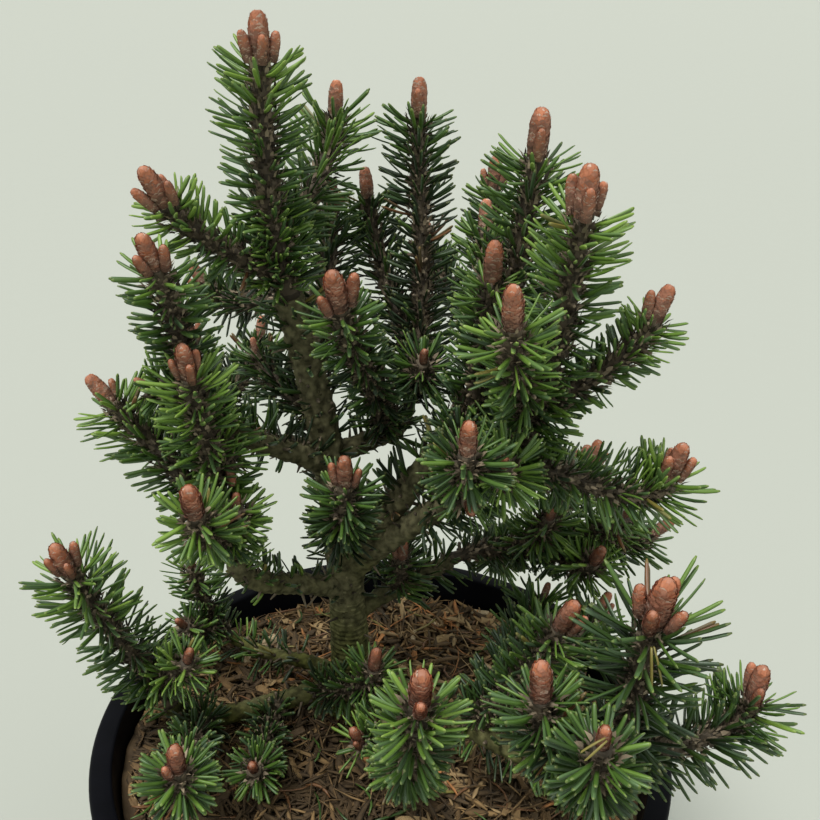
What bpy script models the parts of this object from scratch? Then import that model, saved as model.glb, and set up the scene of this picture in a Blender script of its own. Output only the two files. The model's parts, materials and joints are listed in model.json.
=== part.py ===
"""A young dwarf mugo pine in its round black nursery pot.

The pot stands on z = 0 with its axis on the Z axis. Points of the plant are given in millimetres
as (right, back, up), measured from the pot's axis at the surface of the potting bark.
Boughs and shoots are smooth curves worked out from the limb they leave and the place of their tip.
"""

import math
import random
from collections import namedtuple

import bmesh
import bpy
import numpy as np
from mathutils import Matrix, Vector

MM = 0.001

# The pot: a three litre nursery container
POT_HEIGHT = 150 * MM
POT_TOP_RADIUS = 95 * MM
POT_BASE_RADIUS = 70 * MM
POT_WALL = 1.6 * MM
POT_FLOOR = 2.4 * MM
LIP_WIDTH = 5.5 * MM
LIP_DROP = 11 * MM
LIP_BEVEL = 1.2 * MM
POT_SIDES = 48
DRAIN_COUNT = 6
DRAIN_RADIUS = 5 * MM
DRAIN_CIRCLE = 56 * MM
DRAIN_SIDES = 8

# The potting bark that fills the pot to a little below its lip
BARK_DEPTH_BELOW_LIP = 9 * MM
BARK_CROWN = 3 * MM
BARK_TOP = POT_HEIGHT - BARK_DEPTH_BELOW_LIP
BARK_RINGS = (0.7, 0.4, 0.0)
DRILL_DEPTH = 4 * POT_FLOOR

# The clearance between pieces that touch
GAP = 0.3 * MM

# The trunk: foot and tip in millimetres, the way its tip leans, and its radii
TRUNK_FOOT = (-12, 16, 0)
TRUNK_TIP = (-29, 12, 152)
TRUNK_LEAN = (-0.25, -0.1, 1)
TRUNK_RADIUS = 6.6 * MM
TRUNK_TIP_RADIUS = 4.1 * MM
FLARE_RADIUS = 9.5 * MM
FLARE_HEIGHT = 12 * MM
TRUNK_SIDES = 12
TRUNK_RINGS = 11
RINGS_TO_FOOT = 1.4
BOUGH_SIDES = 7
BOUGH_RINGS = 7

# A limb first follows its parent by this share, then heads for its own tip
LEAVE_ALONG = 0.35

# Steps along a limb: for its direction, for its length and for the room that it takes
DIRECTION_STEP = 0.01
LENGTH_STATIONS = 17
ROOM_STATIONS = 25

# A direction that no limb runs along, from which the sides of every limb are counted
SKEW = (0.31, 0.87, 0.39)

# Shoots: the stem's radii, and the needles that stand for the real ones, which are finer and more.
# Needles stand in bands up the stem, one on each of its sides, and each band is turned a little.
STEM_RADIUS = 2.1 * MM
STEM_TIP_RADIUS = 1.7 * MM
STEM_SIDES = 5
BARE_SHARE = 0.08
BAND_HEIGHT = 7.4 * MM
FEWEST_BANDS = 3
BAND_TURN = math.radians(28.8)
NEEDLE_LENGTH_SPREAD = (0.85, 1.1)
NEEDLE_SPREAD_LOW = math.radians(76)
NEEDLE_SPREAD_TOP = math.radians(54)
NEEDLE_WANDER = math.radians(5)
NEEDLE_ROOM = 1.2 * MM
NEEDLE_TESTED = (0.45, 0.75, 1)
SHOOT_ROOM = 2 * NEEDLE_ROOM
LIP_ROOM = 3 * NEEDLE_ROOM
SHORTENINGS = (1.0, 0.75, 0.55)

# Buds: a long one at each tip, with shorter ones round its foot.
# The outline of a bud is (share of its length, share of its radius).
BUD_LENGTH = 12 * MM
BUD_RADIUS = 3.0 * MM
BUD_OUTLINE = ((0.3, 1.0), (0.7, 0.68))
SIDE_BUD_SHARE = 0.72
SIDE_BUD_OFFSET = 0.5
SIDE_BUD_TILT = math.radians(32)

SEED = 11

# A limb leaves its parent at a share of the parent's length, and 1 is the parent's tip.
# tip is in millimetres, radii too. up says how far its end turns towards the light, from 0 to 1.
Limb = namedtuple("Limb", "name parent at tip radius tip_radius up")

BOUGHS = (
    Limb("bough_left_upper", "trunk", 0.62, (-44, -6, 119), 3.3, 2.6, 0.2),
    Limb("bough_right_upper", "trunk", 0.64, (5, 26, 110), 3.2, 2.6, 0.7),
    Limb("bough_right_main", "trunk", 0.35, (17, 4, 111), 4.6, 3.4, 0.0),
    Limb("bough_right_low", "bough_right_main", 0.05, (29, -8, 108), 4.1, 2.9, 0.1),
    Limb("bough_left_low", "trunk", 0.31, (-44, -14, 82), 3.5, 2.6, 0.9),
    Limb("bough_right_back", "trunk", 0.24, (22, 32, 51), 2.9, 2.4, 0.0),
    Limb("bough_back_left", "trunk", 0.65, (-57, 47, 92), 2.7, 2.1, 0.2),
    Limb("bough_left_soil", "trunk", 0.035, (-71, -2, 14), 3.3, 2.7, 0.75),
    Limb("bough_front_right", "trunk", 0.09, (50, -50, 40), 3.6, 2.7, 0.2),
    Limb("bough_front", "bough_front_right", 0.16, (6, -50, 38), 2.7, 2.2, 0.4),
    Limb("bough_back_low", "trunk", 0.07, (-58, 36, 12), 2.2, 2.0, 0.3),
    Limb("bough_back_high", "bough_right_main", 0.55, (30, 44, 118), 2.9, 2.3, 0.4),
)

# A shoot is a leafy stem with buds at its tip. The first of a mass leaves the limb named with it,
# and the others leave the first. side_buds stand round the bud at the tip, whose size is bud.
# needle is the length of its needles in millimetres.
Shoot = namedtuple("Shoot", "at tip up bud side_buds needle")

MASSES = {
    "shoots_crown": (
        "trunk",
        (
            Shoot(1, (-33.5, 8, 215), 0.9, 1.1, 4, 17),
            Shoot(0.14, (-18, 45, 199), 0.8, 0.9, 0, 17),
            Shoot(0.05, (-56, -8, 182), 0.4, 1.0, 3, 14),
        ),
    ),
    "shoots_left_upper": (
        "bough_left_upper",
        (
            Shoot(1, (-54, -29, 171), 0.0, 0.9, 3, 13),
            Shoot(0.3, (-63, -15, 135), 0.3, 0.4, 0, 12),
            Shoot(0.08, (-42, -20, 113), 0.2, 0.5, 0, 13),
        ),
    ),
    "shoots_left_low": (
        "bough_left_low",
        (
            Shoot(1, (-48, -30, 144), 0.0, 0.9, 3, 15),
            Shoot(0.06, (-44, -50, 117), 0.5, 1.0, 0, 15),
            Shoot(0.14, (-74.5, -12, 128.5), 0.0, 0.9, 1, 14),
            Shoot(0.05, (-39, -28, 106), 0.6, 0.5, 0, 12),
        ),
    ),
    "shoots_left_tip": (
        "bough_left_soil",
        (
            Shoot(1, (-90, -20, 79), 0.2, 1.0, 3, 17),
            Shoot(0.2, (-60, -16, 44), 0.6, 0.6, 0, 13),
        ),
    ),
    "shoot_left_front": ("bough_left_soil", (Shoot(0.7, (-51, -62, 48), 0.8, 0.9, 1, 14),)),
    "shoot_left_inner": ("bough_left_soil", (Shoot(0.36, (-38, -32, 17), 0.6, 0.6, 0, 11),)),
    "shoots_back_low": (
        "bough_back_low",
        (
            Shoot(1, (-71, 36, 43), 0.7, 0.65, 0, 13),
            Shoot(0.15, (-72, 24, 26), 0.4, 0.55, 0, 12),
        ),
    ),
    "shoots_back_left": (
        "bough_back_left",
        (
            Shoot(1, (-71, 62, 120), 0.5, 0.9, 2, 14),
            Shoot(0.12, (-80, 38, 92), 0.6, 0.8, 1, 14),
            Shoot(0.16, (-50, 78, 116), 0.6, 0.8, 0, 14),
        ),
    ),
    "shoot_trunk_front": ("trunk", (Shoot(0.44, (-11, -18, 108), 0.8, 0.9, 2, 14),)),
    "shoots_behind": (
        "trunk",
        (
            Shoot(0.77, (-20, 50, 170), 0.9, 0.9, 2, 15),
            Shoot(0.5, (-62, 50, 144), 0.6, 0.8, 1, 14),
        ),
    ),
    "shoot_trunk_side": ("trunk", (Shoot(0.73, (-42, 30, 128), 0.6, 0.5, 0, 15),)),
    "shoot_right_crest": ("bough_right_upper", (Shoot(0.6, (-12, -18, 159), 0.3, 1.1, 2, 14),)),
    "shoots_right_upper": (
        "bough_right_upper",
        (
            Shoot(1, (7, 50, 199), 0.7, 1.0, 1, 16),
            Shoot(0.12, (-9, 60, 172), 0.6, 0.9, 1, 14),
            Shoot(0.1, (10, 10, 134), 0.5, 0.5, 0, 14),
        ),
    ),
    "shoots_centre": (
        "bough_right_main",
        (
            Shoot(1, (37, 0, 194.5), 0.8, 1.1, 2, 17),
            Shoot(0.3, (28, 36, 167), 0.7, 0.9, 0, 14),
            Shoot(0.24, (27, -8, 164), 0.7, 1.0, 1, 14),
            Shoot(0.06, (20, -48, 134), 0.8, 1.0, 0, 14),
            Shoot(0.1, (23, -24, 107), 0.3, 0.6, 0, 13),
            Shoot(0.12, (36, 16, 128), 0.4, 0.5, 0, 14),
        ),
    ),
    "shoots_right": (
        "bough_right_low",
        (
            Shoot(1, (45.5, -26, 185), 0.8, 1.1, 3, 16),
            Shoot(0.28, (29, -43, 163), 0.7, 1.1, 0, 15),
            Shoot(0.28, (68, -16, 157), 0.6, 1.0, 1, 13),
            Shoot(0.05, (77.5, -18, 113), 0.8, 1.0, 3, 17),
            Shoot(0.1, (62, 24, 94), 0.6, 0.7, 1, 12),
            Shoot(0.05, (30, -36, 124), 0.5, 0.5, 0, 15),
        ),
    ),
    "shoots_right_back": (
        "bough_right_back",
        (
            Shoot(1, (89, 24, 69), 0.4, 0.8, 0, 14),
            Shoot(0.3, (52, 14, 80), 0.6, 0.6, 0, 14),
            Shoot(0.45, (66, 6, 69), 0.6, 0.8, 0, 14),
            Shoot(0.4, (74, 60, 76), 0.6, 0.9, 2, 14),
            Shoot(0.22, (43, 55, 40), 0.3, 0.7, 1, 14),
            Shoot(0.5, (75, 10, 84), 0.4, 0.5, 0, 13),
        ),
    ),
    "shoot_back_inner": (
        "bough_right_back",
        (
            Shoot(0.45, (5, 22, 58), 0.6, 0.7, 1, 14),
            Shoot(0.3, (4, 52, 58), 0.6, 0.7, 1, 14),
        ),
    ),
    "shoots_back_high": (
        "bough_back_high",
        (
            Shoot(1, (33, 70, 174), 0.7, 1.0, 2, 14),
            Shoot(0.2, (58, 48, 160), 0.7, 0.9, 1, 14),
            Shoot(0.15, (12, 84, 150), 0.7, 0.9, 1, 14),
            Shoot(0.12, (56, 72, 124), 0.5, 0.8, 0, 14),
        ),
    ),
    "shoots_front_right": (
        "bough_front_right",
        (
            Shoot(1, (62, -70, 104), 0.5, 1.2, 4, 18),
            Shoot(0.1, (100, -46, 61.5), 0.9, 1.0, 2, 17),
            Shoot(0.12, (37, -78, 89), 0.8, 1.2, 0, 15),
            Shoot(0.05, (47, -95, 92), 0.7, 0.6, 0, 14),
        ),
    ),
    "shoots_right_inner": (
        "bough_front_right",
        (
            Shoot(0.6, (48, -38, 77), 0.3, 1.0, 1, 14),
            Shoot(0.2, (68, 0, 54), 0.5, 0.7, 1, 14),
            Shoot(0.15, (52, 10, 52), 0.4, 0.5, 0, 13),
        ),
    ),
    "shoot_front": ("bough_front", (Shoot(1, (10, -84, 92), 0.6, 1.2, 1, 14),)),
    "shoot_front_inner": ("bough_front", (Shoot(0.5, (-6, -30, 27), 0.7, 0.7, 1, 14),)),
    "shoot_foot": ("bough_left_soil", (Shoot(0.18, (-3, -10, 38), 0.8, 0.8, 0, 14),)),
}

# Colours of the pieces: red, green, blue, roughness
COLOURS = {
    "pot": (0.012, 0.012, 0.014, 0.35),
    "bark": (0.09, 0.05, 0.03, 0.95),
    "limb": (0.075, 0.06, 0.035, 0.9),
    "foliage": (0.035, 0.1, 0.025, 0.55),
}
SMOOTH_UNDER = math.radians(40)
SOLVERS = ("MANIFOLD", "EXACT")


def plant_point(place):
    """A point of the plant in metres, from its millimetres (right, back, up) at the bark's surface."""
    return np.array(place, float) * MM + np.array([0, 0, BARK_TOP + GAP])


def unit(vector):
    return np.asarray(vector, float) / np.linalg.norm(vector)


def around(forward):
    """Two directions square to forward and to each other."""
    side = unit(np.cross(forward, SKEW))
    return side, np.cross(forward, side)


class Axis:
    """The centre line of a limb, with its radius, both by the share of its length.

    The line is the smooth curve that leaves start and arrives at end in the given directions.
    """

    def __init__(self, start, leave, end, arrive, radius):
        self.start, self.leave = start, unit(leave)
        self.end, self.arrive = end, unit(arrive)
        self.radius = radius

    def point(self, share):
        t = share
        reach = np.linalg.norm(self.end - self.start)
        return (
            (2 * t**3 - 3 * t**2 + 1) * self.start
            + (t**3 - 2 * t**2 + t) * reach * self.leave
            + (3 * t**2 - 2 * t**3) * self.end
            + (t**3 - t**2) * reach * self.arrive
        )

    def direction(self, share):
        before, after = max(share - DIRECTION_STEP, 0), min(share + DIRECTION_STEP, 1)
        return unit(self.point(after) - self.point(before))

    def length(self):
        stations = [self.point(t) for t in np.linspace(0, 1, LENGTH_STATIONS)]
        return sum(np.linalg.norm(b - a) for a, b in zip(stations, stations[1:]))


def trunk_radius(share):
    """The trunk's taper, with the flare of its root."""
    above = TRUNK_RADIUS + (TRUNK_TIP_RADIUS - TRUNK_RADIUS) * share
    height = share * (TRUNK_TIP[2] - TRUNK_FOOT[2]) * MM
    return above + (FLARE_RADIUS - TRUNK_RADIUS) * math.exp(-height / FLARE_HEIGHT)


def taper(first, last):
    return lambda share: first + (last - first) * share


def trunk_axis():
    return Axis(plant_point(TRUNK_FOOT), (0, 0, 1), plant_point(TRUNK_TIP), TRUNK_LEAN, trunk_radius)


def branch_axis(parent, at, tip, up, radius):
    """The line of a limb that leaves parent at a share of its length and turns up towards its tip."""
    along = parent.direction(at)
    end = plant_point(tip)
    if at == 1:
        start = parent.point(1) + along * GAP
        leave = along
    else:
        start = parent.point(at)
        leave = LEAVE_ALONG * along + unit(end - start)
    arrive = (1 - up) * unit(end - start) + up * np.array([0, 0, 1])
    return Axis(start, leave, end, arrive, radius)


def material(name):
    made = bpy.data.materials.get(name)
    if made:
        return made
    made = bpy.data.materials.new(name)
    made.use_nodes = True
    red, green, blue, roughness = COLOURS[name]
    shader = made.node_tree.nodes["Principled BSDF"]
    shader.inputs["Base Color"].default_value = (red, green, blue, 1)
    shader.inputs["Roughness"].default_value = roughness
    shader.inputs["Metallic"].default_value = 0
    return made


def new_object(name, bm):
    mesh = bpy.data.meshes.new(name)
    bmesh.ops.recalc_face_normals(bm, faces=bm.faces[:])
    bmesh.ops.triangulate(bm, faces=bm.faces[:])
    bm.to_mesh(mesh)
    bm.free()
    made = bpy.data.objects.new(name, mesh)
    bpy.context.scene.collection.objects.link(made)
    return made


def finish(made, colour):
    """Gives a piece its one material, and smooth shading over its round sides."""
    made.data.materials.clear()
    made.data.materials.append(material(colour))
    made.data.shade_smooth()
    made.data.set_sharp_from_angle(angle=SMOOTH_UNDER)


def combine(target, operation, operands):
    """Joins operands to target or cuts them from it with one Boolean, and removes them.

    The manifold solver comes first, and the exact one only where that leaves an open solid.
    """
    group = bpy.data.collections.new("operands")
    bpy.context.scene.collection.children.link(group)
    for operand in operands:
        bpy.context.scene.collection.objects.unlink(operand)
        group.objects.link(operand)
    whole = target.data
    for solver in SOLVERS:
        target.data = whole
        modifier = target.modifiers.new("combine", "BOOLEAN")
        modifier.operation = operation
        modifier.solver = solver
        modifier.use_self = True
        modifier.operand_type = "COLLECTION"
        modifier.collection = group
        bpy.context.view_layer.update()
        evaluated = target.evaluated_get(bpy.context.evaluated_depsgraph_get())
        mesh = bpy.data.meshes.new_from_object(evaluated)
        target.modifiers.clear()
        target.data = mesh
        if closed(mesh):
            break
    for operand in operands:
        bpy.data.objects.remove(operand)
    bpy.data.collections.remove(group)


def closed(mesh):
    """True if every edge of the mesh lies between exactly two faces."""
    bm = bmesh.new()
    bm.from_mesh(mesh)
    whole = bool(bm.faces) and all(edge.is_manifold for edge in bm.edges)
    bm.free()
    return whole


def shells_of(bm):
    """The faces of each separate closed surface."""
    shells, seen = [], set()
    for first in bm.faces:
        if first in seen:
            continue
        shell, front = [], [first]
        seen.add(first)
        while front:
            face = front.pop()
            shell.append(face)
            beyond = {other for edge in face.edges for other in edge.link_faces} - seen
            seen |= beyond
            front.extend(beyond)
        shells.append(shell)
    return sorted(shells, key=len)


def drop_scraps(made):
    """Keeps only the outer surface of a fused piece, which fills a sealed hollow and drops a scrap."""
    bm = bmesh.new()
    bm.from_mesh(made.data)
    for shell in shells_of(bm)[:-1]:
        bmesh.ops.delete(bm, geom=shell, context="FACES")
    bm.to_mesh(made.data)
    bm.free()


def add_ring(bm, axis, share, sides, turn=0.0, extra=0.0):
    side, across = around(axis.direction(share))
    centre, radius = axis.point(share), axis.radius(share) + extra
    angles = [turn + 2 * math.pi * i / sides for i in range(sides)]
    return [bm.verts.new(centre + radius * (math.cos(a) * side + math.sin(a) * across)) for a in angles]


def join_rings(bm, low, high):
    for i in range(len(low)):
        j = (i + 1) % len(low)
        bm.faces.new((low[i], low[j], high[j], high[i]))


def close_on(bm, ring, place):
    """Closes the end of a tube with a fan of faces to a point."""
    tip = bm.verts.new(place)
    for i in range(len(ring)):
        bm.faces.new((ring[i], ring[(i + 1) % len(ring)], tip))


def tube(name, axis, sides, stations, extra=0.0):
    """A tapering round limb along axis, closed by flat ends. A cutter is made fatter by extra."""
    bm = bmesh.new()
    rings = [add_ring(bm, axis, share, sides, extra=extra) for share in stations]
    for low, high in zip(rings, rings[1:]):
        join_rings(bm, low, high)
    bm.faces.new(rings[0][::-1])
    bm.faces.new(rings[-1])
    return new_object(name, bm)


def trim_foot(piece, limbs):
    """Trims a piece to the sides of the limbs that it leaves or passes, a fine gap away."""
    stations = np.linspace(0, 1, TRUNK_RINGS)
    for axis in limbs:
        combine(piece, "DIFFERENCE", [tube("cutter", axis, TRUNK_SIDES, stations, GAP)])


def lathe(name, profile):
    """A turned solid from a profile of (radius, height) points that starts and ends on the axis."""
    bm = bmesh.new()
    angles = [2 * math.pi * i / POT_SIDES for i in range(POT_SIDES)]
    rings = [
        [bm.verts.new((r * math.cos(a), r * math.sin(a), z)) for a in angles]
        for r, z in profile[1:-1]
    ]
    close_on(bm, rings[0][::-1], (0, 0, profile[0][1]))
    for low, high in zip(rings, rings[1:]):
        join_rings(bm, low, high)
    close_on(bm, rings[-1], (0, 0, profile[-1][1]))
    return new_object(name, bm)


def wall_radius(height):
    """The outer radius of the pot's tapering wall."""
    neck = POT_TOP_RADIUS - LIP_WIDTH
    return POT_BASE_RADIUS + (neck - POT_BASE_RADIUS) * height / POT_HEIGHT


def bark_height(radius):
    """The bark's surface, which is mounded a little towards the middle."""
    reach = wall_radius(BARK_TOP - BARK_CROWN)
    return BARK_TOP - BARK_CROWN * (radius / reach) ** 2


def make_pot():
    """The pot: a flat floor with drain holes, a tapering wall and a lip turned out and down."""
    top, lip, outer = POT_HEIGHT, POT_HEIGHT - LIP_DROP, POT_TOP_RADIUS
    profile = (
        (0, 0),
        (wall_radius(0), 0),
        (wall_radius(lip), lip),
        (outer, lip),
        (outer, top - LIP_BEVEL),
        (outer - LIP_BEVEL, top),
        (wall_radius(top) - POT_WALL, top),
        (wall_radius(POT_FLOOR) - POT_WALL, POT_FLOOR),
        (0, POT_FLOOR),
    )
    pot = lathe("pot", profile)
    drill = bmesh.new()
    for i in range(DRAIN_COUNT):
        turn = Matrix.Rotation(2 * math.pi * i / DRAIN_COUNT, 4, "Z")
        bmesh.ops.create_cone(
            drill,
            cap_ends=True,
            segments=DRAIN_SIDES,
            radius1=DRAIN_RADIUS,
            radius2=DRAIN_RADIUS,
            depth=DRILL_DEPTH,
            matrix=turn @ Matrix.Translation((DRAIN_CIRCLE, 0, 0)),
        )
    combine(pot, "DIFFERENCE", [new_object("drains", drill)])
    finish(pot, "pot")


def make_bark():
    """The filling of potting bark, a fine gap clear of the pot, with its low mound."""
    floor, edge = POT_FLOOR + GAP, BARK_TOP - BARK_CROWN
    profile = [(0, floor)]
    for height in (floor, edge):
        profile.append((wall_radius(height) - POT_WALL - GAP, height))
    rim = profile[-1][0]
    for share in BARK_RINGS:
        profile.append((share * rim, bark_height(share * rim)))
    finish(lathe("potting_bark", profile), "bark")


class Space:
    """Knows where every limb and shoot runs, so that a needle keeps to the space of its own shoot."""

    def __init__(self):
        self.limbs, self.shoots = [], []

    def add_limb(self, axis):
        stations = [(*axis.point(t), axis.radius(t)) for t in np.linspace(0, 1, ROOM_STATIONS)]
        self.limbs.extend(stations)

    def add_shoot(self, axis):
        stations = [(*axis.point(t), id(axis)) for t in np.linspace(0, 1, ROOM_STATIONS)]
        self.shoots.extend(stations)

    def free(self, place, own):
        """True if place is nearest to its own shoot, and clear of limbs, bark and pot."""
        limbs, shoots = np.array(self.limbs), np.array(self.shoots)
        if (np.linalg.norm(limbs[:, :3] - place, axis=1) < limbs[:, 3] + NEEDLE_ROOM + GAP).any():
            return False
        away = np.linalg.norm(shoots[:, :3] - place, axis=1)
        mine = shoots[:, 3] == own
        if away[~mine].min() < away[mine].min() + SHOOT_ROOM:
            return False
        near_lip = math.hypot(place[0], place[1]) > POT_TOP_RADIUS - LIP_WIDTH - LIP_ROOM
        floor = POT_HEIGHT if near_lip else BARK_TOP
        return place[2] > floor + NEEDLE_ROOM


def needle_tip(axis, share, angle, length, space, rng):
    """Where the needle that stands at an angle round the stem ends, or None if it has no room."""
    forward = axis.direction(share)
    side, across = around(forward)
    spread = NEEDLE_SPREAD_LOW + (NEEDLE_SPREAD_TOP - NEEDLE_SPREAD_LOW) * share
    spread += rng.uniform(-NEEDLE_WANDER, NEEDLE_WANDER)
    out = math.cos(angle) * side + math.sin(angle) * across
    needle = math.cos(spread) * forward + math.sin(spread) * out
    needle = needle * length * rng.uniform(*NEEDLE_LENGTH_SPREAD)
    for part in SHORTENINGS:
        reach = [axis.point(share) + needle * part * t for t in NEEDLE_TESTED]
        if all(space.free(place, id(axis)) for place in reach):
            return reach[-1]
    return None


def leafy_stem(name, axis, shoot, space, rng):
    """A stem in one piece with its needles, drawn out of its sides, and the bud at its tip."""
    bm = bmesh.new()
    bands = max(FEWEST_BANDS, round(axis.length() * (1 - BARE_SHARE) / BAND_HEIGHT))
    stations = [0, *np.linspace(BARE_SHARE, 1, bands + 1)]
    turn = rng.uniform(0, 2 * math.pi)
    rings = [add_ring(bm, axis, t, STEM_SIDES, turn + BAND_TURN * i) for i, t in enumerate(stations)]
    bm.faces.new(rings[0][::-1])
    join_rings(bm, rings[0], rings[1])
    for i in range(1, bands + 1):
        middle = (stations[i] + stations[i + 1]) / 2
        for k in range(STEM_SIDES):
            j = (k + 1) % STEM_SIDES
            corners = [rings[i][k], rings[i][j], rings[i + 1][j], rings[i + 1][k]]
            angle = turn + BAND_TURN * (i + 0.5) + 2 * math.pi * (k + 0.5) / STEM_SIDES
            tip = needle_tip(axis, middle, angle, shoot.needle * MM, space, rng)
            if tip is None:
                bm.faces.new(corners)
            else:
                close_on(bm, corners, tip)
    add_buds(bm, rings[-1], axis, shoot, turn + BAND_TURN * (bands + 1))
    return new_object(name, bm)


def add_buds(bm, low, axis, shoot, turn):
    """The bud at a stem's tip, with the shorter ones drawn out of the sides of its foot."""
    tip, forward = axis.point(1), axis.direction(1)
    side, across = around(forward)
    length, radius = BUD_LENGTH * shoot.bud, BUD_RADIUS * shoot.bud
    budding = {k * STEM_SIDES // shoot.side_buds for k in range(shoot.side_buds)}
    for share, width in BUD_OUTLINE:
        centre = tip + forward * length * share
        angles = [turn + 2 * math.pi * k / STEM_SIDES for k in range(STEM_SIDES)]
        outward = [math.cos(a) * side + math.sin(a) * across for a in angles]
        high = [bm.verts.new(centre + radius * width * out) for out in outward]
        for k in range(STEM_SIDES):
            j = (k + 1) % STEM_SIDES
            corners = (low[k], low[j], high[j], high[k])
            if k in budding:
                out = unit(outward[k] + outward[j])
                tilted = math.cos(SIDE_BUD_TILT) * forward + math.sin(SIDE_BUD_TILT) * out
                close_on(bm, corners, tip + out * radius * SIDE_BUD_OFFSET + tilted * length * SIDE_BUD_SHARE)
            else:
                bm.faces.new(corners)
        low, budding = high, ()
    close_on(bm, low, tip + forward * length)


def make_mass(name, parent, axes, shoots, space, rng):
    """One mass: its leafy stems joined into one solid, clear of the limb that it leaves."""
    mass, *others = [leafy_stem(name, axis, shoot, space, rng) for axis, shoot in zip(axes, shoots)]
    if others:
        combine(mass, "UNION", others)
    if shoots[0].at != 1:
        trim_foot(mass, [parent])
    drop_scraps(mass)
    finish(mass, "foliage")


def limb_axes():
    axes = {"trunk": trunk_axis()}
    for bough in BOUGHS:
        radius = taper(bough.radius * MM, bough.tip_radius * MM)
        axes[bough.name] = branch_axis(axes[bough.parent], bough.at, bough.tip, bough.up, radius)
    return axes


def shoot_axes(parent, shoots):
    """The stems of a mass: the first leaves its parent limb and the others leave the first."""
    thickness = taper(STEM_RADIUS, STEM_TIP_RADIUS)
    first = branch_axis(parent, shoots[0].at, shoots[0].tip, shoots[0].up, thickness)
    others = [branch_axis(first, s.at, s.tip, s.up, thickness) for s in shoots[1:]]
    return [first, *others]


def make_limbs(axes):
    stations = np.linspace(0, 1, TRUNK_RINGS) ** RINGS_TO_FOOT
    finish(tube("trunk", axes["trunk"], TRUNK_SIDES, stations), "limb")
    made = [axes["trunk"]]
    for bough in BOUGHS:
        limb = tube(bough.name, axes[bough.name], BOUGH_SIDES, np.linspace(0, 1, BOUGH_RINGS))
        trim_foot(limb, made)
        made.append(axes[bough.name])
        finish(limb, "limb")


def build():
    for existing in list(bpy.data.objects):
        bpy.data.objects.remove(existing)
    make_pot()
    make_bark()
    limbs = limb_axes()
    make_limbs(limbs)
    stems = {mass: shoot_axes(limbs[parent], shoots) for mass, (parent, shoots) in MASSES.items()}
    space = Space()
    for axis in limbs.values():
        space.add_limb(axis)
    for axis in (axis for axes in stems.values() for axis in axes):
        space.add_shoot(axis)
    for number, (mass, (parent, shoots)) in enumerate(MASSES.items()):
        rng = random.Random(SEED + number)
        make_mass(mass, limbs[parent], stems[mass], shoots, space, rng)


build()
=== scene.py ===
"""The looks of a young dwarf mugo pine in its black nursery pot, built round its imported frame.

Limbs and shoots follow the same tables and the same rule as the solids. Here they carry bark with
relief, pairs of slim needles in brown sheaths, and buds of overlapping scales, within the same reach.
Points of the plant are in millimetres (right, back, up) from the pot's axis at the bark's surface.
"""

import json
import math
from collections import namedtuple

import bmesh
import bpy
import numpy as np
from mathutils import Matrix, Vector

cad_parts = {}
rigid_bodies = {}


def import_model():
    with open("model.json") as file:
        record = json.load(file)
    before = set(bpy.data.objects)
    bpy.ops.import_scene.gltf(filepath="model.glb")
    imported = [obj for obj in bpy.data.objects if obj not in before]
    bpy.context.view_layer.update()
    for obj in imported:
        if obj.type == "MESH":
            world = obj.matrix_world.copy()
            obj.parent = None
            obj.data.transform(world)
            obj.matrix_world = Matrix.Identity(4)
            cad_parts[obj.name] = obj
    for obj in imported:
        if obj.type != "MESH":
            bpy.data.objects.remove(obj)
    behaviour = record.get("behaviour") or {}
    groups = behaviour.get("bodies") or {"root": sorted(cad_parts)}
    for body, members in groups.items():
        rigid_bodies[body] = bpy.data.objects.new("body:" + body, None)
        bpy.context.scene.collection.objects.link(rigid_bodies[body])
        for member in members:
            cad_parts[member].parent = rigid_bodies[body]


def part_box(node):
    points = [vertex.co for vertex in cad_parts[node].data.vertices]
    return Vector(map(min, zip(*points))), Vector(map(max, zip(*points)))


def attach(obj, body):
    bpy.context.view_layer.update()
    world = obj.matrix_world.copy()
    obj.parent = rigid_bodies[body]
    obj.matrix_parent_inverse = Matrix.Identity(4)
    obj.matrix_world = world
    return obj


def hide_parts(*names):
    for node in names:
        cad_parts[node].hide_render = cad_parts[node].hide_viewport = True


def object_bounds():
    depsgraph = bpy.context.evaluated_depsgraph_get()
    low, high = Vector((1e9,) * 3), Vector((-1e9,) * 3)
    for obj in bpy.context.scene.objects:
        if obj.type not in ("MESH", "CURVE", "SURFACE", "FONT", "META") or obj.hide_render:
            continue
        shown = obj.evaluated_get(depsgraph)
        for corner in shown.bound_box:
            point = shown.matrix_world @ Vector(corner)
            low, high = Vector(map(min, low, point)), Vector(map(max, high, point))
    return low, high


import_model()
CAD_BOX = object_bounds()

MM = 0.001
GOLDEN_ANGLE = math.pi * (3 - math.sqrt(5))
SEED = 11

# The pot and its filling, whose main sizes are the frame's
POT_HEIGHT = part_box("pot")[1].z
POT_TOP_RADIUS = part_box("pot")[1].x
POT_BASE_RADIUS = 70 * MM
POT_WALL = 1.6 * MM
POT_FLOOR = 2.4 * MM
LIP_WIDTH = 5.5 * MM
LIP_DROP = 11 * MM
LIP_ROUND = 1.3 * MM
POT_SIDES = 144
POT_SHARP = math.radians(50)
DRAIN_COUNT = 6
DRAIN_RADIUS = 5 * MM
DRAIN_CIRCLE = 56 * MM
DRAIN_DEPTH = 12 * MM
BARK_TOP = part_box("potting_bark")[1].z
BARK_CROWN = 3 * MM
GAP = 0.3 * MM

# The bark is banked against this side of the wall, from this share of the radius outwards
BANK_SIDE = (-0.87, -0.5)
BANK_START = 0.68
BANK_HEIGHT = 6 * MM
# Below its strips lies a bed this much lower and less banked, with lumps (height, size) in millimetres
BED_SUNK = 1.2 * MM
BED_BANKED = 0.7
BED_LUMPS = ((1.1, 7), (0.7, 2.4))
BED_SIDES = 200
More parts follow.
